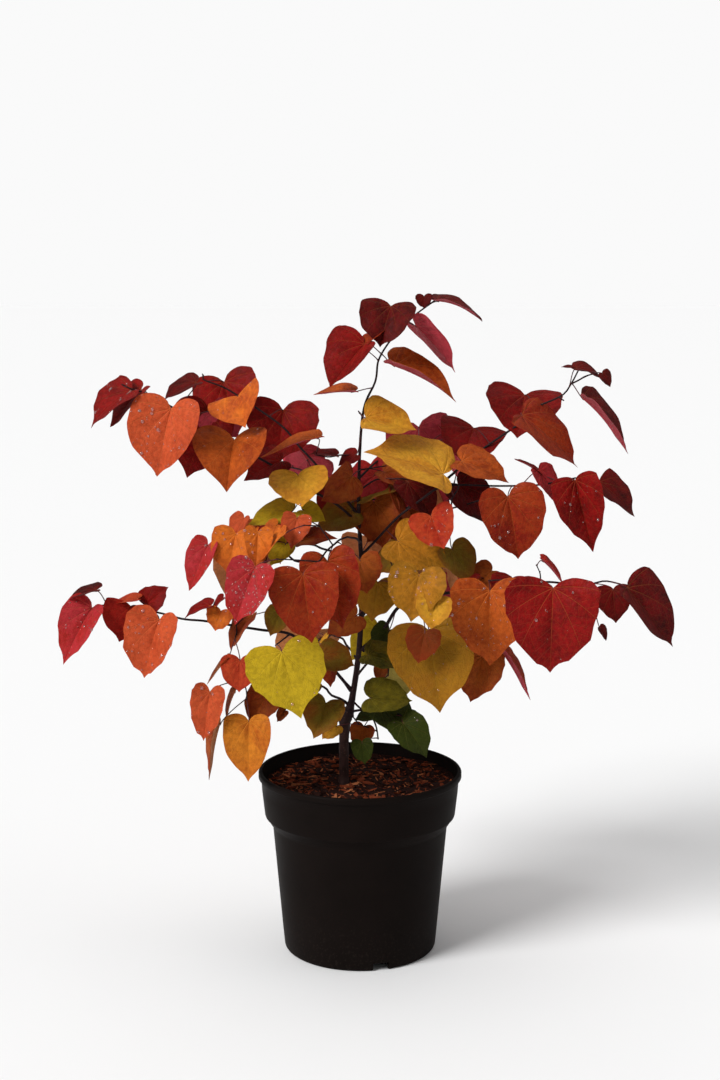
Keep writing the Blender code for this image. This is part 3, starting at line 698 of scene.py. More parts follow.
def path_length(places):
    return sum((b - a).length for a, b in zip(places, places[1:]))


def shares(count):
    """Even steps from 0 to 1."""
    return [i / count for i in range(count + 1)]


def camera_place():
    stage = settings("stage")
    return Vector((0, -stage.camera_distance, stage.camera_height))


def camera_view():
    """The stage, its focal length in pixels of the photograph, and the cosine and sine of its pitch."""
    stage = settings("stage")
    focal = stage.focal_length / 1000 / SENSOR * PHOTO_HEIGHT
    return stage, focal, math.cos(stage.camera_pitch), math.sin(stage.camera_pitch)


def spot(pixel, depth):
    """The place that a pixel of the photograph shows at a depth behind the pot's axis."""
    stage, focal, c, s = camera_view()
    slope = (PHOTO_HEIGHT / 2 - pixel[1]) / focal
    away = depth + stage.camera_distance
    z = stage.camera_height + away * (slope * c - s) / (c + slope * s)
    reach = away * c - (z - stage.camera_height) * s
    return Vector(((pixel[0] - PHOTO_WIDTH / 2) / focal * reach, depth, z))


def pixel_of(place):
    """The pixel of the photograph that shows a place."""
    stage, focal, c, s = camera_view()
    away, above = place.y + stage.camera_distance, place.z - stage.camera_height
    reach = away * c - above * s
    up = focal * (away * s + above * c) / reach
    return PHOTO_WIDTH / 2 + focal * place.x / reach, PHOTO_HEIGHT / 2 - up


def closes_sky(blade):
    """Whether a blade would show in a window of open sky."""
    for down, side in ((0, 0), (0.5, 0), (1, 0), (0.4, 0.5), (0.4, -0.5), (-0.25, 0.3), (-0.25, -0.3)):
        place = blade.notch + (blade.along * down + blade.across * side) * blade.length
        x, y = pixel_of(place)
        if any(left < x < right and top < y < bottom for left, top, right, bottom in SKY):
            return True
    return False


def tube(places, radii, sides, relief=None):
    """A closed tapering limb: its foot is extruded from place to place along its path."""
    directions = [(b - a).normalized() for a, b in zip(places, places[1:])]
    directions.append(directions[-1])
    turn = directions[0].to_track_quat("Z", "Y")
    before = directions[0]
    poses = []
    for i, (place, radius) in enumerate(zip(places, radii)):
        along = (directions[max(0, i - 1)] + directions[i]).normalized()
        turn = before.rotation_difference(along) @ turn
        before = along
        poses.append(Matrix.LocRotScale(place, turn, (radius,) * 3))
    bm = bmesh.new()
    bmesh.ops.create_circle(bm, cap_ends=True, segments=sides, radius=1, matrix=poses[0])
    bm.faces.ensure_lookup_table()
    foot = end = bm.faces[0]
    for last, pose in zip(poses, poses[1:]):
        made = bmesh.ops.extrude_face_region(bm, geom=[end])
        if end is not foot:
            bmesh.ops.delete(bm, geom=[end], context="FACES_ONLY")
        end = next(part for part in made["geom"] if isinstance(part, bmesh.types.BMFace))
        bmesh.ops.transform(bm, matrix=pose @ last.inverted(), verts=end.verts)
    if relief:
        for vert in bm.verts:
            vert.co = relief(vert.co)
    bmesh.ops.recalc_face_normals(bm, faces=bm.faces)
    return bm


@cache
def trunk_path():
    """The trunk's stations, close together, as (x, y, z, radius)."""
    return smooth_path([tuple(station) for station in TRUNK], 12)


def trunk_at(height):
    return min(trunk_path(), key=lambda station: abs(station[2] - height))


def on_bezier(root, elbow, tip, t):
    return root * (1 - t)**2 + elbow * (2 * t * (1 - t)) + tip * t**2


def route_path(route):
    """A smooth path through a route's pixels, as points of a flat picture."""
    return smooth_path([(float(x), float(y), 0.0) for x, y in route], 6)


def bough_limb(bough, chance):
    """A bough's places and radii: through its pixels where it shows, else along its own curve."""
    root, elbow, tip = Vector(trunk_at(bough.fork)[:3]), Vector(bough.elbow), Vector(bough.tip)
    count = max(8, round((tip - root).length / BOUGH_STEP))
    if bough.route:
        pixels = route_path(bough.route)
        places = [
            spot(pixel, on_bezier(root, elbow, tip, t).y)
            for pixel, t in zip(along_path(pixels, shares(count)), shares(count))
        ]
    else:
        places = []
        for i, t in enumerate(shares(count)):
            sway = SWAY * min(1.0, 4 * t) * (1 if (i // 4) % 2 else -1)
            place = on_bezier(root, elbow, tip, t)
            places.append(place + Vector((sway, chance.uniform(-0.0006, 0.0006), 0.4 * sway)))
        places = [Vector(p) for p in smooth_path([tuple(p) for p in places[::4]] + [tuple(tip)], 4)]
    radii = []
    for i, t in enumerate(shares(len(places) - 1)):
        collar = 1 + COLLAR_SWELL * math.exp(-(i * BOUGH_STEP / COLLAR_REACH)**2)
        radii.append((bough.radius + (BOUGH_TIP - bough.radius) * t) * collar)
    return Limb(bough.name, places, radii)


def twig_limb(number, twig):
    """A twig's places and radii, through its pixels and from its near depth to its far one."""
    steps = shares(14)
    depths = [twig.near + (twig.far - twig.near) * t for t in steps]
    places = [spot(pixel, depth) for pixel, depth in zip(along_path(route_path(twig.route), steps), depths)]
    radii = [twig.radius * (1.15 - 0.35 * t) for t in steps]
    return Limb(f"twig_{number}", places, radii)


def shown_blade(number, leaf):
    """A blade placed by its pixels: its tip keeps its pixel when it leans to the viewer."""
    eye = camera_place()
    notch, flat = spot(leaf.notch, leaf.depth), spot(leaf.tip, leaf.depth)
    ray = (flat - eye).normalized()
    tip = flat - ray * ((flat - notch).length * math.tan(math.radians(leaf.lean)))
    along = (tip - notch).normalized()
    toward = eye - notch
    face = (toward - along * toward.dot(along)).normalized()
    face.rotate(Matrix.Rotation(math.radians(leaf.turn), 3, along))
    return Blade(
        leaf.tint, notch, along.cross(face), along, face, (tip - notch).length, leaf.breadth,
        leaf.fold * settings("leaves").fold, leaf.arch, leaf.wet, leaf.lobes, number,
    )


def hidden_blades(spray, first, chance):
    """The blades of a spray that the photograph hides, hung round its middle, faces up and outward."""
    blades = []
    for i in range(spray.leaves):
        round_turn = SPIRAL_TURN * i + chance.uniform(-0.4, 0.4)
        level = 1 - 1.7 * (i + 0.5) / spray.leaves
        flat = math.sqrt(max(0.05, 1 - level**2))
        offset = Vector((math.cos(round_turn) * flat, math.sin(round_turn) * flat, level))
        place = Vector(c + 0.62 * h * o for c, h, o in zip(spray.centre, spray.half, offset))
        out = Vector((place.x, place.y, 0)).normalized() + Vector((offset.x, offset.y, 0)) * 0.8
        along = (out.normalized() * chance.uniform(0.2, 0.75) + Vector((0, 0, -1))
                 + Vector((chance.uniform(-0.3, 0.3), chance.uniform(-0.3, 0.3), 0))).normalized()
        face = out.normalized() + Vector((chance.uniform(-0.5, 0.5), chance.uniform(-0.5, 0.5), 0.55))
        face = (face - along * face.dot(along)).normalized()
        notch = place - along * 0.020
        blades.append(Blade(
            chance.choice(spray.tints), notch, along.cross(face), along, face,
            chance.uniform(*HIDDEN_LENGTH), 1.0, chance.uniform(*HIDDEN_FOLD), 0.06, 0, 0.62, first + i,
        ))
    return blades


def socket(limbs, blade, reach):
    """The place on the wood that best carries a blade, and how far it lies from its notch."""
    best = None
    for limb in limbs:
        for place in limb.places[1:]:
            way = place - blade.notch
            gap = way.length
            heading = way / max(gap, 1e-6)
            crossing = max(0.0, heading.dot(blade.along)) + 0.6 * abs(heading.dot(blade.face))
            spare = gap - reach if gap > reach else SHORT_STALK * (reach - gap)
            cost = spare + CROSSING * crossing + (NO_ROOM if gap < ROOM else 0.0)
            if best is None or cost < best[0]:
                best = (cost, place, gap)
    return best[1], best[2]


def shoot(name, root, end, chance):
    """A twig that grows to its end from bud to bud, a little to each side in turn."""
    way = end - root
    count = max(2, round(way.length / SHOOT_STEP))
    side = way.cross(Vector((0.3, 0.2, 1))).normalized()
    knots = []
    for i, t in enumerate(shares(count)):
        sway = SHOOT_BOW * (-1)**i * (0 < i < count)
        arch = Vector((0, 0, 0.04 * way.length * t * (1 - t)))
        knots.append(tuple(root + way * t + side * sway * chance.uniform(0.6, 1.4) + arch))
    places = [Vector(p) for p in smooth_path(knots, 4)]
    return Limb(name, places, [SHOOT_RADIUS * (1 - 0.3 * t) for t in shares(len(places) - 1)])


def stalk(place, blade, radius):
    """A leaf stalk, leaving its twig outward and running into the blade's midrib."""
    way = blade.notch - place
    first = place + way * 0.35 + Vector((0, 0, 0.06 * way.length))
    second = blade.notch - blade.along * (0.18 * way.length) - blade.face * (0.05 * way.length)
    places = []
    radii = []
    for t in shares(8):
        s = 1 - t
        places.append(
            place * s**3 + first * (3 * s * s * t) + second * (3 * s * t * t)
            + (blade.notch + blade.along * 0.0015) * t**3
        )
        radii.append(radius * (1 + 0.55 * math.exp(-(t / 0.10)**2) + 0.40 * math.exp(-(s / 0.12)**2)))
    return Limb("stalk", places, radii)


@cache
def grown():
    """The limbs, stalks and blades of the whole crown, grown once by the seeded rule."""
    wood = settings("wood")
    chance = random.Random(wood.seed)
    limbs = [Limb("trunk", [Vector(s[:3]) for s in trunk_path()], [s[3] for s in trunk_path()])]
    limbs += [bough_limb(bough, chance) for bough in BOUGHS]
    limbs += [twig_limb(number, twig) for number, twig in enumerate(TWIGS)]
    blades = [shown_blade(number, leaf) for number, leaf in enumerate(LEAVES)]
    for spray in SPRAYS:
        grown_here = hidden_blades(spray, len(blades), chance)
        blades += [blade for blade in grown_here if not closes_sky(blade)]

    def gap_to_wood(blade):
        return min((blade.notch - place).length for limb in limbs for place in limb.places)

    stalks = []
    for blade in sorted(blades, key=gap_to_wood):
        place, gap = socket(limbs, blade, wood.stalk_length)
        if gap > 1.7 * wood.stalk_length:
            back = ((place - blade.notch).normalized() * 0.8 - blade.along * 0.25).normalized()
            end = blade.notch + back * wood.stalk_length
            limbs.append(shoot(f"shoot_{blade.seed}", place, end, chance))
            place = limbs[-1].places[-1]
        stalks.append(stalk(place, blade, wood.stalk_radius))
    return Crown(limbs, stalks, blades)


@cache
def margin_path():
    return smooth_path([(float(angle), reach) for angle, reach in MARGIN], 6)


def margin(angle):
    """How far the margin lies from the notch, at an angle from the tip in degrees."""
    path = margin_path()
    for (a, r), (b, s) in zip(path, path[1:]):
        if angle <= b:
            return r + (s - r) * (angle - a) / (b - a)
    return path[-1][1]


def blade_mesh(blade):
    """A closed heart-shaped blade in its place: a grid bent into a fan round the notch, thickened
    while it is flat, then folded along the midrib, arched, quilted between its veins and rippled."""
    leaves = settings("leaves")
    chance = random.Random(7 * blade.seed + 3)
    phase = [chance.uniform(0, math.tau) for _ in range(4)]
    waves = chance.uniform(4.0, 6.5)
    curl = chance.uniform(-0.02, 0.05)
    lobes = blade.lobes * chance.uniform(0.94, 1.06)
    corners = chance.uniform(*CORNERS)
    across, along = SHOWN_GRID if blade.seed < len(LEAVES) else HIDDEN_GRID
    bm = bmesh.new()
    bmesh.ops.create_grid(bm, x_segments=across, y_segments=along, size=1)
    for vert in bm.verts:
        u, share = vert.co.x, (vert.co.y + 1) / 2
        angle = MARGIN[-1][0] * math.copysign(abs(u)**1.2, u)
        reach = margin(abs(angle)) * share**0.9
        reach *= 1 + 0.016 * math.sin(angle / 9 + phase[0]) + 0.012 * math.sin(angle / 21 + phase[1])
        reach *= 1 - corners * abs(math.sin(math.pi * angle / CORNER_STEP + phase[1]))
        turn = math.radians(angle)
        x, y = reach * math.sin(turn) * blade.breadth, reach * math.cos(turn)
        vert.co = (x, y if y > 0 else y * lobes, 0)
    bmesh.ops.remove_doubles(bm, verts=bm.verts, dist=1e-5)
    bmesh.ops.recalc_face_normals(bm, faces=bm.faces)
    bmesh.ops.solidify(bm, geom=bm.faces[:], thickness=leaves.thickness / blade.length)
    bm.normal_update()
    uv = bm.loops.layers.uv.new("blade")
    for face in bm.faces:
        face.material_index = 1 if face.normal.z < -0.5 else 0
        for loop in face.loops:
            loop[uv].uv = (0.5 + 0.8 * loop.vert.co.x, 0.8 * (loop.vert.co.y + 0.25))
    fold = math.radians(blade.fold)
    for vert in bm.verts:
        x, y, z = vert.co
        reach = math.hypot(x, y)
        angle = abs(math.degrees(math.atan2(x, y if y > 0 else y / lobes)))
        share = min(1.0, reach / margin(min(angle, MARGIN[-1][0])))
        between = math.sin(math.pi * angle / VEIN_ANGLE)
        z += leaves.quilt * between * between * math.sin(math.pi * min(1.0, reach / 0.55))
        z += leaves.ripple * share**3 * math.sin(math.radians(angle) * waves + phase[2 if x < 0 else 3])
        z += blade.arch * 4 * y * (1 - y) + curl * max(0.0, y - 0.7) * 4
        lift = abs(x) * math.sin(fold) * (1 - 0.25 * share)
        vert.co = (x * math.cos(fold), y, z + lift)
    axes = Matrix((blade.across, blade.along, blade.face)).transposed()
    pose = Matrix.Translation(blade.notch) @ axes.to_4x4() @ Matrix.Scale(blade.length, 4)
    bmesh.ops.transform(bm, matrix=pose, verts=bm.verts)
    return bm


@cache
def blade_surface():
    """A node group that finds a blade's main veins, side veins, net and tones from its UV map."""
    tree = bpy.data.node_groups.new("blade_surface", "ShaderNodeTree")
    for name in ("Vein", "Branch", "Net", "Broad", "Mottle", "Rim"):
        tree.interface.new_socket(name=name, in_out="OUTPUT", socket_type="NodeSocketFloat")
    add = adder(tree)
    coords = add("TexCoord", {})
    uv = add("SeparateXYZ", {0: coords["UV"]})
    x = calc(add, "MULTIPLY", calc(add, "SUBTRACT", uv[0], 0.5), 1.25)
    y = calc(add, "MULTIPLY_ADD", uv[1], 1.25, -0.25)
    angle = calc(add, "ABSOLUTE", calc(add, "ARCTAN2", x, y), 0.0)
    flat = add("CombineXYZ", {0: x, 1: y})[0]
    reach = add("VectorMath", {0: flat}, operation="LENGTH")["Value"]
    bent = calc(add, "DIVIDE", angle, calc(add, "MULTIPLY_ADD", reach, -0.22, 1.0))
    off = calc(add, "PINGPONG", bent, math.radians(VEIN_ANGLE) / 2)
    side = calc(add, "MULTIPLY", off, reach)
    width = calc(add, "MULTIPLY_ADD", reach, -0.0055, 0.0075)
    vein = fade(add, side, calc(add, "MULTIPLY", width, 0.35), calc(add, "MULTIPLY", width, 1.3))
    rung = calc(add, "PINGPONG", calc(add, "MULTIPLY_ADD", side, -0.85, reach), 0.055)
    branch = fade(add, rung, 0.001, 0.008)
    cells = add("TexVoronoi", {"Vector": coords["UV"], "Scale": 34.0}, feature="DISTANCE_TO_EDGE")
    net = fade(add, cells["Distance"], 0.01, 0.09)
    broad = clouds(add, coords["Object"], 27.0, 2.5)
    mottle = clouds(add, coords["Object"], 210.0, 3.0)
    full = calc(add, "MULTIPLY_ADD", angle, -0.195, 0.86)
    rim = rise(add, calc(add, "DIVIDE", reach, full), 0.55, 1.05)
    results = tree.nodes.new("NodeGroupOutput").inputs
    for result, output in zip(results, (vein, branch, net, broad, mottle, rim)):
        tree.links.new(output, result)
    return tree


@cache
def leaf_material(tint):
    """One tint of blade, flushed in patches, with veins sunk in its face or raised under its back."""
    leaves = settings("leaves")
    back = tint not in TINTS
    rgb = getattr(leaves, tint)
    flush = rgb if back else getattr(leaves, TINTS[tint][2])
    material, shader, add = new_material(f"leaf_{tint}", 0.60 if back else 0.44, 0.06)
    surface = add("Group", {}, node_tree=blade_surface())
    patch = calc(add, "MULTIPLY", rise(add, surface["Broad"], 0.42, 0.68), 0.85)
    flushed = calc(add, "MAXIMUM", patch, calc(add, "MULTIPLY", surface["Rim"], 0.60))
    toned = blend(add, flushed, solid(rgb), solid(flush, 0.80))
    fleck = rise(add, surface["Mottle"], 0.36, 0.66)
    flecked = blend(add, fleck, blend(add, 0.24, toned, solid(rgb, 1.35)),
                    blend(add, 0.22, toned, solid(flush, 0.40)))
    pale = [min(1.0, 1.3 * part + 0.06 * weight) for part, weight in zip(rgb, (1.4, 1.0, 0.25))]
    lines = calc(add, "MULTIPLY", surface["Vein"], 0.55)
    for name, strength in (("Branch", 0.20), ("Net", 0.12)):
        lines = calc(add, "MAXIMUM", lines, calc(add, "MULTIPLY", surface[name], strength))
    connect(material, blend(add, lines, flecked, solid(pale)), shader["Base Color"])
    height = surface["Vein"]
    for name, strength in (("Branch", 0.5), ("Net", 0.35), ("Mottle", 1.1)):
        height = calc(add, "MULTIPLY_ADD", surface[name], strength, height)
    roughen(material, shader, add, height, 0.8, 0.0010, sunk=not back)
    return material


class REDBUD_OT_stage(bpy.types.Operator):
    """Set the camera, the soft light and the plain pale floor"""

    bl_idname = "redbud.stage"
    bl_label = "Stage"

    def execute(self, context):
        stage = settings("stage")
        scene = context.scene
        lens = bpy.data.cameras.new("camera")
        lens.sensor_width = SENSOR * 1000
        lens.lens = stage.focal_length
        camera = bpy.data.objects.new("camera", lens)
        camera.location = camera_place()
        camera.rotation_euler = (math.pi / 2 - stage.camera_pitch, 0, 0)
        scene.collection.objects.link(camera)
        scene.camera = camera
        lamps = (
            ("key", stage.key, (-0.66, -0.52, 0.62), 26),
            ("fill", stage.fill, (0.90, -0.10, 0.35), 50),
            ("top", stage.top, (-0.10, 0.25, 1.00), 60),
        )
        for name, strength, direction, spread in lamps:
            lamp = bpy.data.lights.new(name, "SUN")
            lamp.energy = strength
            lamp.angle = math.radians(spread)
            light = bpy.data.objects.new(name, lamp)
            light.rotation_euler = Vector(direction).to_track_quat("Z", "Y").to_euler()
            scene.collection.objects.link(light)
        world = bpy.data.worlds.new("studio")
        world.use_nodes = True
        add = adder(world.node_tree)
        lit = add("LightPath", {})["Is Camera Ray"]
        strength = calc(add, "MULTIPLY_ADD", lit, stage.backdrop - stage.ambient, stage.ambient)
        background = world.node_tree.nodes["Background"].inputs
        background["Color"].default_value = (1.0, 1.0, 1.0, 1.0)
        world.node_tree.links.new(strength, background["Strength"])
        scene.world = world
        scene.view_settings.view_transform = "Standard"
        bm = bmesh.new()
        bmesh.ops.create_grid(bm, x_segments=1, y_segments=1, size=stage.floor_size / 2)
        material, shader, _ = new_material("floor", 0.9, 0.2)
        shader["Base Color"].default_value = solid(stage.floor_colour)
        floor = mesh_object(bm, "floor")
        floor.data.materials.append(material)
        return {"FINISHED"}


def body_radius(pot, z):
    """The outer radius of the pot's tapering body at a height."""
    return pot.base_radius + (pot.body_top - pot.base_radius) / pot.body_height * z


def pot_profile(pot):
    """The pot's outline from the middle of its underside, up the outside and down the inside."""
    rim, band, top = pot.rim_radius, pot.rim_band, pot.height
    inside = pot.collar_top - pot.wall
    return (
        (0.0, 0.0), (pot.pad, 0.0),
        (pot.pad + pot.pad_slope, pot.underside), (pot.base_radius - pot.skirt - 0.001, pot.underside),
        (pot.base_radius - pot.skirt, pot.underside - 0.001), (pot.base_radius - pot.skirt, 0.0),
        (pot.base_radius - 0.0040, 0.0), (pot.base_radius - 0.0025, 0.0003),
        (pot.base_radius - 0.0012, 0.0012), (pot.base_radius - 0.0003, 0.0025),
        (pot.base_radius + 0.0002, 0.0042),
        *((body_radius(pot, z), z) for z in (0.020, 0.060, 0.100, pot.body_height - 0.003)),
        (pot.body_top + 0.0006, pot.body_height - 0.0004), (pot.body_top + 0.0020, pot.body_height + 0.0012),
        (pot.collar_foot - 0.0016, pot.collar_height - 0.0012),
        (pot.collar_foot - 0.0004, pot.collar_height - 0.0004), (pot.collar_foot, pot.collar_height + 0.0010),
        (pot.collar_top - 0.0012, top - band - 0.016), (pot.collar_top - 0.0002, top - band - 0.0012),
        (pot.collar_top + 0.0010, top - band), (rim - 0.0008, top - band + 0.0004),
        (rim, top - band + 0.0012), (rim, top - 0.0022), (rim - 0.0008, top - 0.0008),
        (rim - 0.0024, top), (rim - 0.0044, top - 0.0006), (inside + 0.0008, top - 0.0020),
        (inside, top - 0.0040), (pot.collar_foot - pot.wall, pot.collar_height + 0.0010),
        (pot.body_top - pot.wall, pot.body_height + 0.0012),
        (pot.body_top - pot.wall, pot.body_height - 0.0010),
        (body_radius(pot, 0.060) - pot.wall, 0.060), (body_radius(pot, 0.020) - pot.wall, 0.016),
        (pot.base_radius - pot.wall - 0.0020, pot.underside + pot.wall),
        (pot.pad + pot.pad_slope - pot.wall, pot.underside + pot.wall),
        (pot.pad - pot.wall, pot.wall), (0.0, pot.wall),
    )


class REDBUD_OT_pot(bpy.types.Operator):
    """Turn the nursery pot, and cut the notches of its skirt and its drain holes"""

    bl_idname = "redbud.pot"
    bl_label = "Pot"

    def execute(self, context):
        pot = settings("pot")
        bm = bmesh.new()
        points = [bm.verts.new((radius, 0, z)) for radius, z in pot_profile(pot)]
        edges = [bm.edges.new(pair) for pair in zip(points, points[1:])]
        bmesh.ops.spin(
            bm, geom=points + edges, axis=(0, 0, 1), cent=(0, 0, 0), angle=math.tau, steps=144,
            use_merge=True,
        )
        bmesh.ops.remove_doubles(bm, verts=bm.verts, dist=1e-6)
        bmesh.ops.recalc_face_normals(bm, faces=bm.faces)
        material = pot_material(pot)
        piece = finish_mesh(bm, "nursery_pot", [material], "pot_plastic", ["pot"], sharp=50)
        tool = mesh_object(joined(self.cutters(pot)), "cutters")
        boolean = piece.modifiers.new("notches", "BOOLEAN")
        boolean.operation = "DIFFERENCE"
        boolean.solver = "EXACT"
        boolean.object = tool
        cut = bmesh.new()
        cut.from_object(piece, context.evaluated_depsgraph_get())
        piece.modifiers.clear()
        cut.to_mesh(piece.data)
        cut.free()
        piece.data.set_sharp_from_angle(angle=math.radians(50))
        bpy.data.objects.remove(tool)
        return {"FINISHED"}

    def cutters(self, pot):
        """A block for each notch of the skirt, and a rod for the drain hole behind it."""
        for i in range(pot.notches):
            turn = Matrix.Rotation(-math.pi / 2 + pot.notch_turn + math.tau * i / pot.notches, 4, "Z")
            block = bmesh.new()
            bmesh.ops.create_cube(block, size=1, matrix=turn @ Matrix.LocRotScale(
                (pot.base_radius, 0, (pot.notch_height - CUT_SPARE) / 2), None,
                (NOTCH_CUT, pot.notch_width, pot.notch_height + CUT_SPARE),
            ))
            yield block
            hole = bmesh.new()
            bmesh.ops.create_cone(
                hole, cap_ends=True, segments=16, radius1=pot.hole_radius, radius2=pot.hole_radius,
                depth=HOLE_CUT, matrix=turn @ Matrix.Translation((pot.hole_reach, 0, pot.underside)),
            )
            yield hole


def pot_material(pot):
    """Matt black plastic with a fine grain, a little dust and dried splashes low down."""
    material, shader, add = new_material("pot_plastic", 0.5, 0.025)
    coords = add("TexCoord", {})["Object"]
    height = add("SeparateXYZ", {0: coords})[2]
    cloud = clouds(add, coords, 26.0, 5.0)
    specks = clouds(add, coords, 420.0, 2.0)
    dust = calc(add, "MULTIPLY", fade(add, height, 0.0, 0.09), fade(add, specks, 0.34, 0.44))
    base = blend(add, cloud, solid(pot.plastic, 0.75), solid(pot.plastic, 1.35))
    tinted = blend(add, calc(add, "MULTIPLY", dust, 0.12), base, solid((0.060, 0.045, 0.036)))
    connect(material, tinted, shader["Base Color"])
    connect(material, calc(add, "MULTIPLY_ADD", cloud, 0.20, 0.42), shader["Roughness"])
    grain = clouds(add, coords, 900.0, 2.0)
    roughen(material, shader, add, grain, 0.25, 0.0002)
    return material


def mix_height(x, y):
    """How far the surface of the mix stands above or below its mean."""
    place = Vector((x, y, 0))
    lumps = noise.fractal(place * 34, 1.0, 2.0, 4) * 0.75
    edge = max(0.0, math.hypot(x, y) / 0.11 - 0.75) * 1.2
    return settings("mix").relief * (lumps + edge + 0.35 * x / 0.1)


def grain_material(name, rgb, scale):
    """Peat or wood fibre: a tint broken up by noise, with a rough surface."""
    material, shader, add = new_material(name, 0.9, 0.08)
    coords = add("TexCoord", {})["Object"]
    patch = clouds(add, coords, scale, 4.0)
    connect(material, blend(add, patch, solid(rgb, 0.35), solid(rgb, 1.9)), shader["Base Color"])
    fine = clouds(add, coords, 8 * scale, 3.0)
    roughen(material, shader, add, fine, 0.8, 0.0009)
    return material


class REDBUD_OT_mix(bpy.types.Operator):
    """Fill the pot with potting mix, and strew chips and fibres over it"""

    bl_idname = "redbud.mix"
    bl_label = "Potting mix"

    def execute(self, context):
        mix, pot = settings("mix"), settings("pot")
        top = pot.collar_top - pot.wall - (pot.height - mix.top) * 0.08 - 0.0006
        bm = bmesh.new()
        bmesh.ops.create_grid(bm, x_segments=96, y_segments=96, size=1)
        for vert in bm.verts:
            x, y = vert.co.x, vert.co.y
            round_x = x * math.sqrt(1 - y * y / 2) * top
            round_y = y * math.sqrt(1 - x * x / 2) * top
            vert.co = (round_x, round_y, mix.top + mix_height(round_x, round_y))
        edges = [edge for edge in bm.edges if edge.is_boundary]
        levels = (
            (pot.collar_height, pot.collar_foot - pot.wall - FIT_GAP),
            (pot.body_height + 0.001, pot.body_top - pot.wall - FIT_GAP),
            (0.080, body_radius(pot, 0.080) - pot.wall - FIT_GAP),
            (pot.underside + pot.wall + FIT_GAP, pot.base_radius - pot.wall - 0.0024),
        )
        for z, radius in levels:
            made = bmesh.ops.extrude_edge_only(bm, edges=edges)["geom"]
            edges = [part for part in made if isinstance(part, bmesh.types.BMEdge)]
            for vert in [part for part in made if isinstance(part, bmesh.types.BMVert)]:
                share = radius / math.hypot(vert.co.x, vert.co.y)
                vert.co = (vert.co.x * share, vert.co.y * share, z)
        bmesh.ops.contextual_create(bm, geom=edges)
        bmesh.ops.recalc_face_normals(bm, faces=bm.faces)
        peat = grain_material("peat", mix.dark, 160.0)
        finish_mesh(bm, "peat", [peat], "potting_mix", ["potting_mix"], sharp=70)
        chance = random.Random(5)
        for (name, (share, girth)), rgb in zip(CHIP_KINDS.items(), (mix.dark, mix.red, mix.tan)):
            count = round(mix.chips * share)
            chips = joined(self.chip(chance, mix, top - 0.003, girth) for _ in range(count))
            finish_mesh(chips, name, [grain_material(name, rgb, 260.0)], "potting_mix", sharp=30)
        return {"FINISHED"}

    def chip(self, chance, mix, reach, girth):
        """A splinter that lies on the mix, broken off askew at its ends."""
        while True:
            away = reach * math.sqrt(chance.random())
            turn = chance.uniform(0, math.tau)
            x, y = away * math.cos(turn), away * math.sin(turn)
            if math.hypot(x - TRUNK[0].x, y - TRUNK[0].y) > CHIP_CLEARANCE:
                break
        long = min(0.016, 0.0035 * math.exp(chance.gauss(0.35, 0.45))) / girth**0.4
        wide = long * chance.uniform(0.16, 0.5) * girth
        thick = min(0.0024, wide * chance.uniform(0.25, 0.7))
        bm = bmesh.new()
        bmesh.ops.create_cube(bm, size=1)
        bmesh.ops.subdivide_edges(
            bm, edges=[e for e in bm.edges if abs((e.verts[0].co - e.verts[1].co).x) > 0.5], cuts=1
        )
        for vert in bm.verts:
            vert.co = vert.co + Vector(chance.uniform(-0.22, 0.22) for _ in range(3))
            vert.co.y *= 1 - 0.5 * abs(vert.co.x)
        bmesh.ops.transform(bm, matrix=Matrix.Diagonal((long, wide, thick, 1)), verts=bm.verts)
        tilt = Matrix.Rotation(chance.gauss(0, 0.22), 4, "Y") @ Matrix.Rotation(chance.gauss(0, 0.3), 4, "X")
        level = mix.top + mix_height(x, y) + thick * chance.uniform(0.1, 0.7)
        pose = Matrix.Translation((x, y, level)) @ Matrix.Rotation(chance.uniform(0, math.tau), 4, "Z") @ tilt
        bmesh.ops.transform(bm, matrix=pose, verts=bm.verts)
        for vert in bm.verts:
            away = math.hypot(vert.co.x, vert.co.y)
            if away > CHIP_REACH:
                vert.co.x *= CHIP_REACH / away
                vert.co.y *= CHIP_REACH / away
        bmesh.ops.recalc_face_normals(bm, faces=bm.faces)
        return bm


def bark_material(name, low, high, grain):
    """Bark that turns from one tint to another at a height, with pale lenticels and fine cracks."""
    material, shader, add = new_material(name, 0.62, 0.15)
    coords = add("TexCoord", {})["Object"]
    height = add("SeparateXYZ", {0: coords})[2]
    patch = clouds(add, coords, 150.0, 5.0)
    edge = calc(add, "MULTIPLY_ADD", patch, 0.02, height)
    above = rise(add, edge, BARK_CHANGE - BARK_SPREAD, BARK_CHANGE + BARK_SPREAD)
    lower = blend(add, patch, solid(low, 0.35), solid(low, 1.9))
    upper = blend(add, patch, solid(high, 0.5), solid(high, 1.6))
    dots = add("TexVoronoi", {"Vector": coords, "Scale": 260.0})["Distance"]
    pores = calc(add, "MULTIPLY", fade(add, dots, 0.10, 0.22), 0.45)
    both = blend(add, above, lower, upper)
    connect(material, blend(add, pores, both, solid((0.13, 0.075, 0.052))), shader["Base Color"])
    fine = clouds(add, coords, grain, 4.0)
    relief = calc(add, "MULTIPLY_ADD", pores, 0.5, fine)
    roughen(material, shader, add, relief, 0.6, 0.0006)
    return material


def rough_bark(place):
    """Lumps on the trunk: strong round the graft union, and faint on the smooth leader."""
    axis = Vector(trunk_at(place.z)[:3])
    union = math.exp(-((place.z - UNION_HEIGHT) / UNION_SPREAD)**2)
    old = 1 / (1 + math.exp((place.z - OLD_BARK_TOP) / 0.006))
    strength = 0.05 + 0.10 * old + 0.30 * union
    lump = noise.fractal(place * 260, 1.0, 2.0, 3) * 0.6 + noise.noise(place * 90)
    return axis + (place - axis) * (1 + strength * lump)


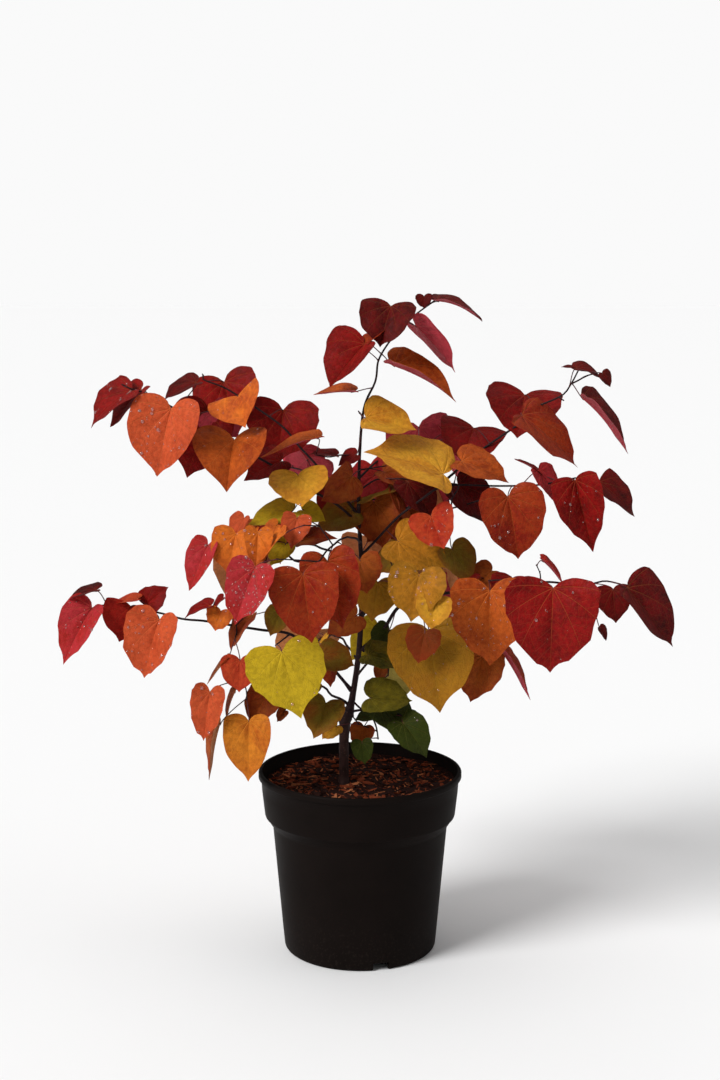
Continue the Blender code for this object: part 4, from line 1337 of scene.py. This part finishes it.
class REDBUD_OT_wood(bpy.types.Operator):
    """Grow the trunk, the boughs and the twigs with their buds"""

    bl_idname = "redbud.wood"
    bl_label = "Wood"

    def execute(self, context):
        wood = settings("wood")
        trunk, *limbs = grown().limbs
        bark = bark_material("bark", wood.old_bark, wood.young_bark, 700.0)
        young = bark_material("young_bark", wood.young_bark, wood.young_bark, 900.0)
        count = round(path_length(trunk.places) / wood.ring_step)
        stations = along_path(trunk_path(), shares(count))
        foot = Vector((*stations[0][:2], stations[0][2] - 0.004))
        places = [foot] + [Vector(station[:3]) for station in stations]
        radii = [stations[0][3] * 1.08] + [station[3] for station in stations]
        finish_mesh(tube(places, radii, 20, rough_bark), "trunk_bark", [bark], "bark", ["trunk"])
        boughs = joined(tube(limb.places, limb.radii, 12) for limb in limbs[:len(BOUGHS)])
        finish_mesh(boughs, "boughs", [young], "young_bark", [f"bough_{bough.name}" for bough in BOUGHS])
        twigs = joined(tube(limb.places, limb.radii, 8) for limb in limbs[len(BOUGHS):])
        finish_mesh(twigs, "twigs", [young], "young_bark")
        finish_mesh(joined(self.buds(limbs)), "buds", [young], "young_bark")
        return {"FINISHED"}

    def buds(self, limbs):
        """A bud at the end of each limb, and smaller ones along it to each side in turn."""
        for limb in limbs:
            yield self.bud(limb.places[-1], limb.places[-1] - limb.places[-3], BUD_RADIUS)
            for i in range(5, len(limb.places) - 2, 7):
                way = limb.places[i + 1] - limb.places[i]
                side = way.cross(Vector((0.2, 0.4, 1))).normalized() * (-1)**i
                start = limb.places[i] + side * limb.radii[i] * 0.8
                yield self.bud(start, way.normalized() + side * 0.6, SIDE_BUD_RADIUS)

    def bud(self, place, way, radius):
        """A small pointed bud."""
        turn = way.to_track_quat("Z", "Y")
        bm = bmesh.new()
        bmesh.ops.create_uvsphere(
            bm, u_segments=8, v_segments=5, radius=1,
            matrix=Matrix.LocRotScale(place, turn, (radius, radius * 0.8, radius * 1.9)),
        )
        return bm


class REDBUD_OT_stalks(bpy.types.Operator):
    """Grow the leaf stalks"""

    bl_idname = "redbud.stalks"
    bl_label = "Leaf stalks"

    def execute(self, context):
        wood = settings("wood")
        material, shader, add = new_material("stalk", 0.5, 0.2)
        coords = add("TexCoord", {})["Object"]
        patch = clouds(add, coords, 40.0, 2.0)
        tint = blend(add, patch, solid(wood.stalk, 0.5), solid(wood.stalk, 1.7))
        connect(material, tint, shader["Base Color"])
        stalks = joined(tube(limb.places, limb.radii, 7) for limb in grown().stalks)
        finish_mesh(stalks, "leaf_stalks", [material], "young_bark")
        return {"FINISHED"}


class REDBUD_OT_leaves(bpy.types.Operator):
    """Hang the heart-shaped leaves, joined tint by tint"""

    bl_idname = "redbud.leaves"
    bl_label = "Leaves"

    def execute(self, context):
        for tint, (slot, back, _) in TINTS.items():
            foliage = joined(blade_mesh(blade) for blade in grown().blades if blade.tint == tint)
            materials = [leaf_material(tint), leaf_material(back)]
            nodes = [f"leaves_{mass}" for mass, kind in MASSES.items() if kind == tint]
            finish_mesh(foliage, f"foliage_{tint}", materials, slot, nodes, sharp=55)
        return {"FINISHED"}


class REDBUD_OT_dew(bpy.types.Operator):
    """Set drops of water on the wet leaves"""

    bl_idname = "redbud.dew"
    bl_label = "Drops"

    def execute(self, context):
        material, shader, _ = new_material("dew", 0.04, 1.0)
        # The pale rose base colour is painted glint: it shows the drops as pinkish-white spots, tinted like
        # the red leaves under them.
        shader["Base Color"].default_value = (1.0, 0.74, 0.70, 1.0)
        shader["Transmission Weight"].default_value = 0.88
        shader["Coat Weight"].default_value = 1.0
        shader["Coat Roughness"].default_value = 0.04
        shader["IOR"].default_value = 1.33
        wet = [blade for blade in grown().blades if blade.wet]
        dew = joined(drop for blade in wet for drop in self.drops(blade))
        finish_mesh(dew, "dew", [material], "dew", sharp=180)
        return {"FINISHED"}

    def drops(self, blade):
        """Small flat drops, and a few twice as wide, strewn over a blade's face."""
        chance = random.Random(31 * blade.seed + 1)
        surface = blade_mesh(blade)
        faces = [face for face in surface.faces if face.material_index == 0]
        areas = [face.calc_area() for face in faces]
        for face in chance.choices(faces, areas, k=blade.wet):
            radius = chance.uniform(0.0005, 0.0011) * chance.choice((1, 1, 1, 1, 2))
            turn = face.normal.to_track_quat("Z", "Y")
            drop = bmesh.new()
            bmesh.ops.create_icosphere(
                drop, subdivisions=2, radius=1, matrix=Matrix.LocRotScale(
                    face.calc_center_median(), turn, (radius, radius, radius * 0.6)
                ),
            )
            yield drop
        surface.free()


OPERATORS = (
    REDBUD_OT_stage, REDBUD_OT_pot, REDBUD_OT_mix, REDBUD_OT_wood, REDBUD_OT_stalks,
    REDBUD_OT_leaves, REDBUD_OT_dew,
)


class REDBUD_PT_panel(bpy.types.Panel):
    """The plant's steps and settings"""

    bl_idname = "REDBUD_PT_panel"
    bl_label = "Potted redbud tree"
    bl_space_type = "VIEW_3D"
    bl_region_type = "UI"
    bl_category = "Redbud"

    def draw(self, context):
        for operator in OPERATORS:
            self.layout.operator(operator.bl_idname)
        for group in GROUPS:
            box = self.layout.box()
            for name in GROUPS[group].__annotations__:
                box.prop(settings(group), name)


def register():
    for group, kind in GROUPS.items():
        bpy.utils.register_class(kind)
        setattr(bpy.types.Scene, f"redbud_{group}", PointerProperty(type=kind))
    for kind in (*OPERATORS, REDBUD_PT_panel):
        bpy.utils.register_class(kind)


def unregister():
    for kind in reversed((*OPERATORS, REDBUD_PT_panel)):
        bpy.utils.unregister_class(kind)
    for group, kind in GROUPS.items():
        delattr(bpy.types.Scene, f"redbud_{group}")
        bpy.utils.unregister_class(kind)


def main():
    register()
    bpy.ops.redbud.stage()
    bpy.ops.redbud.pot()
    bpy.ops.redbud.mix()
    bpy.ops.redbud.wood()
    bpy.ops.redbud.stalks()
    bpy.ops.redbud.leaves()
    bpy.ops.redbud.dew()


if __name__ == "__main__":
    main()
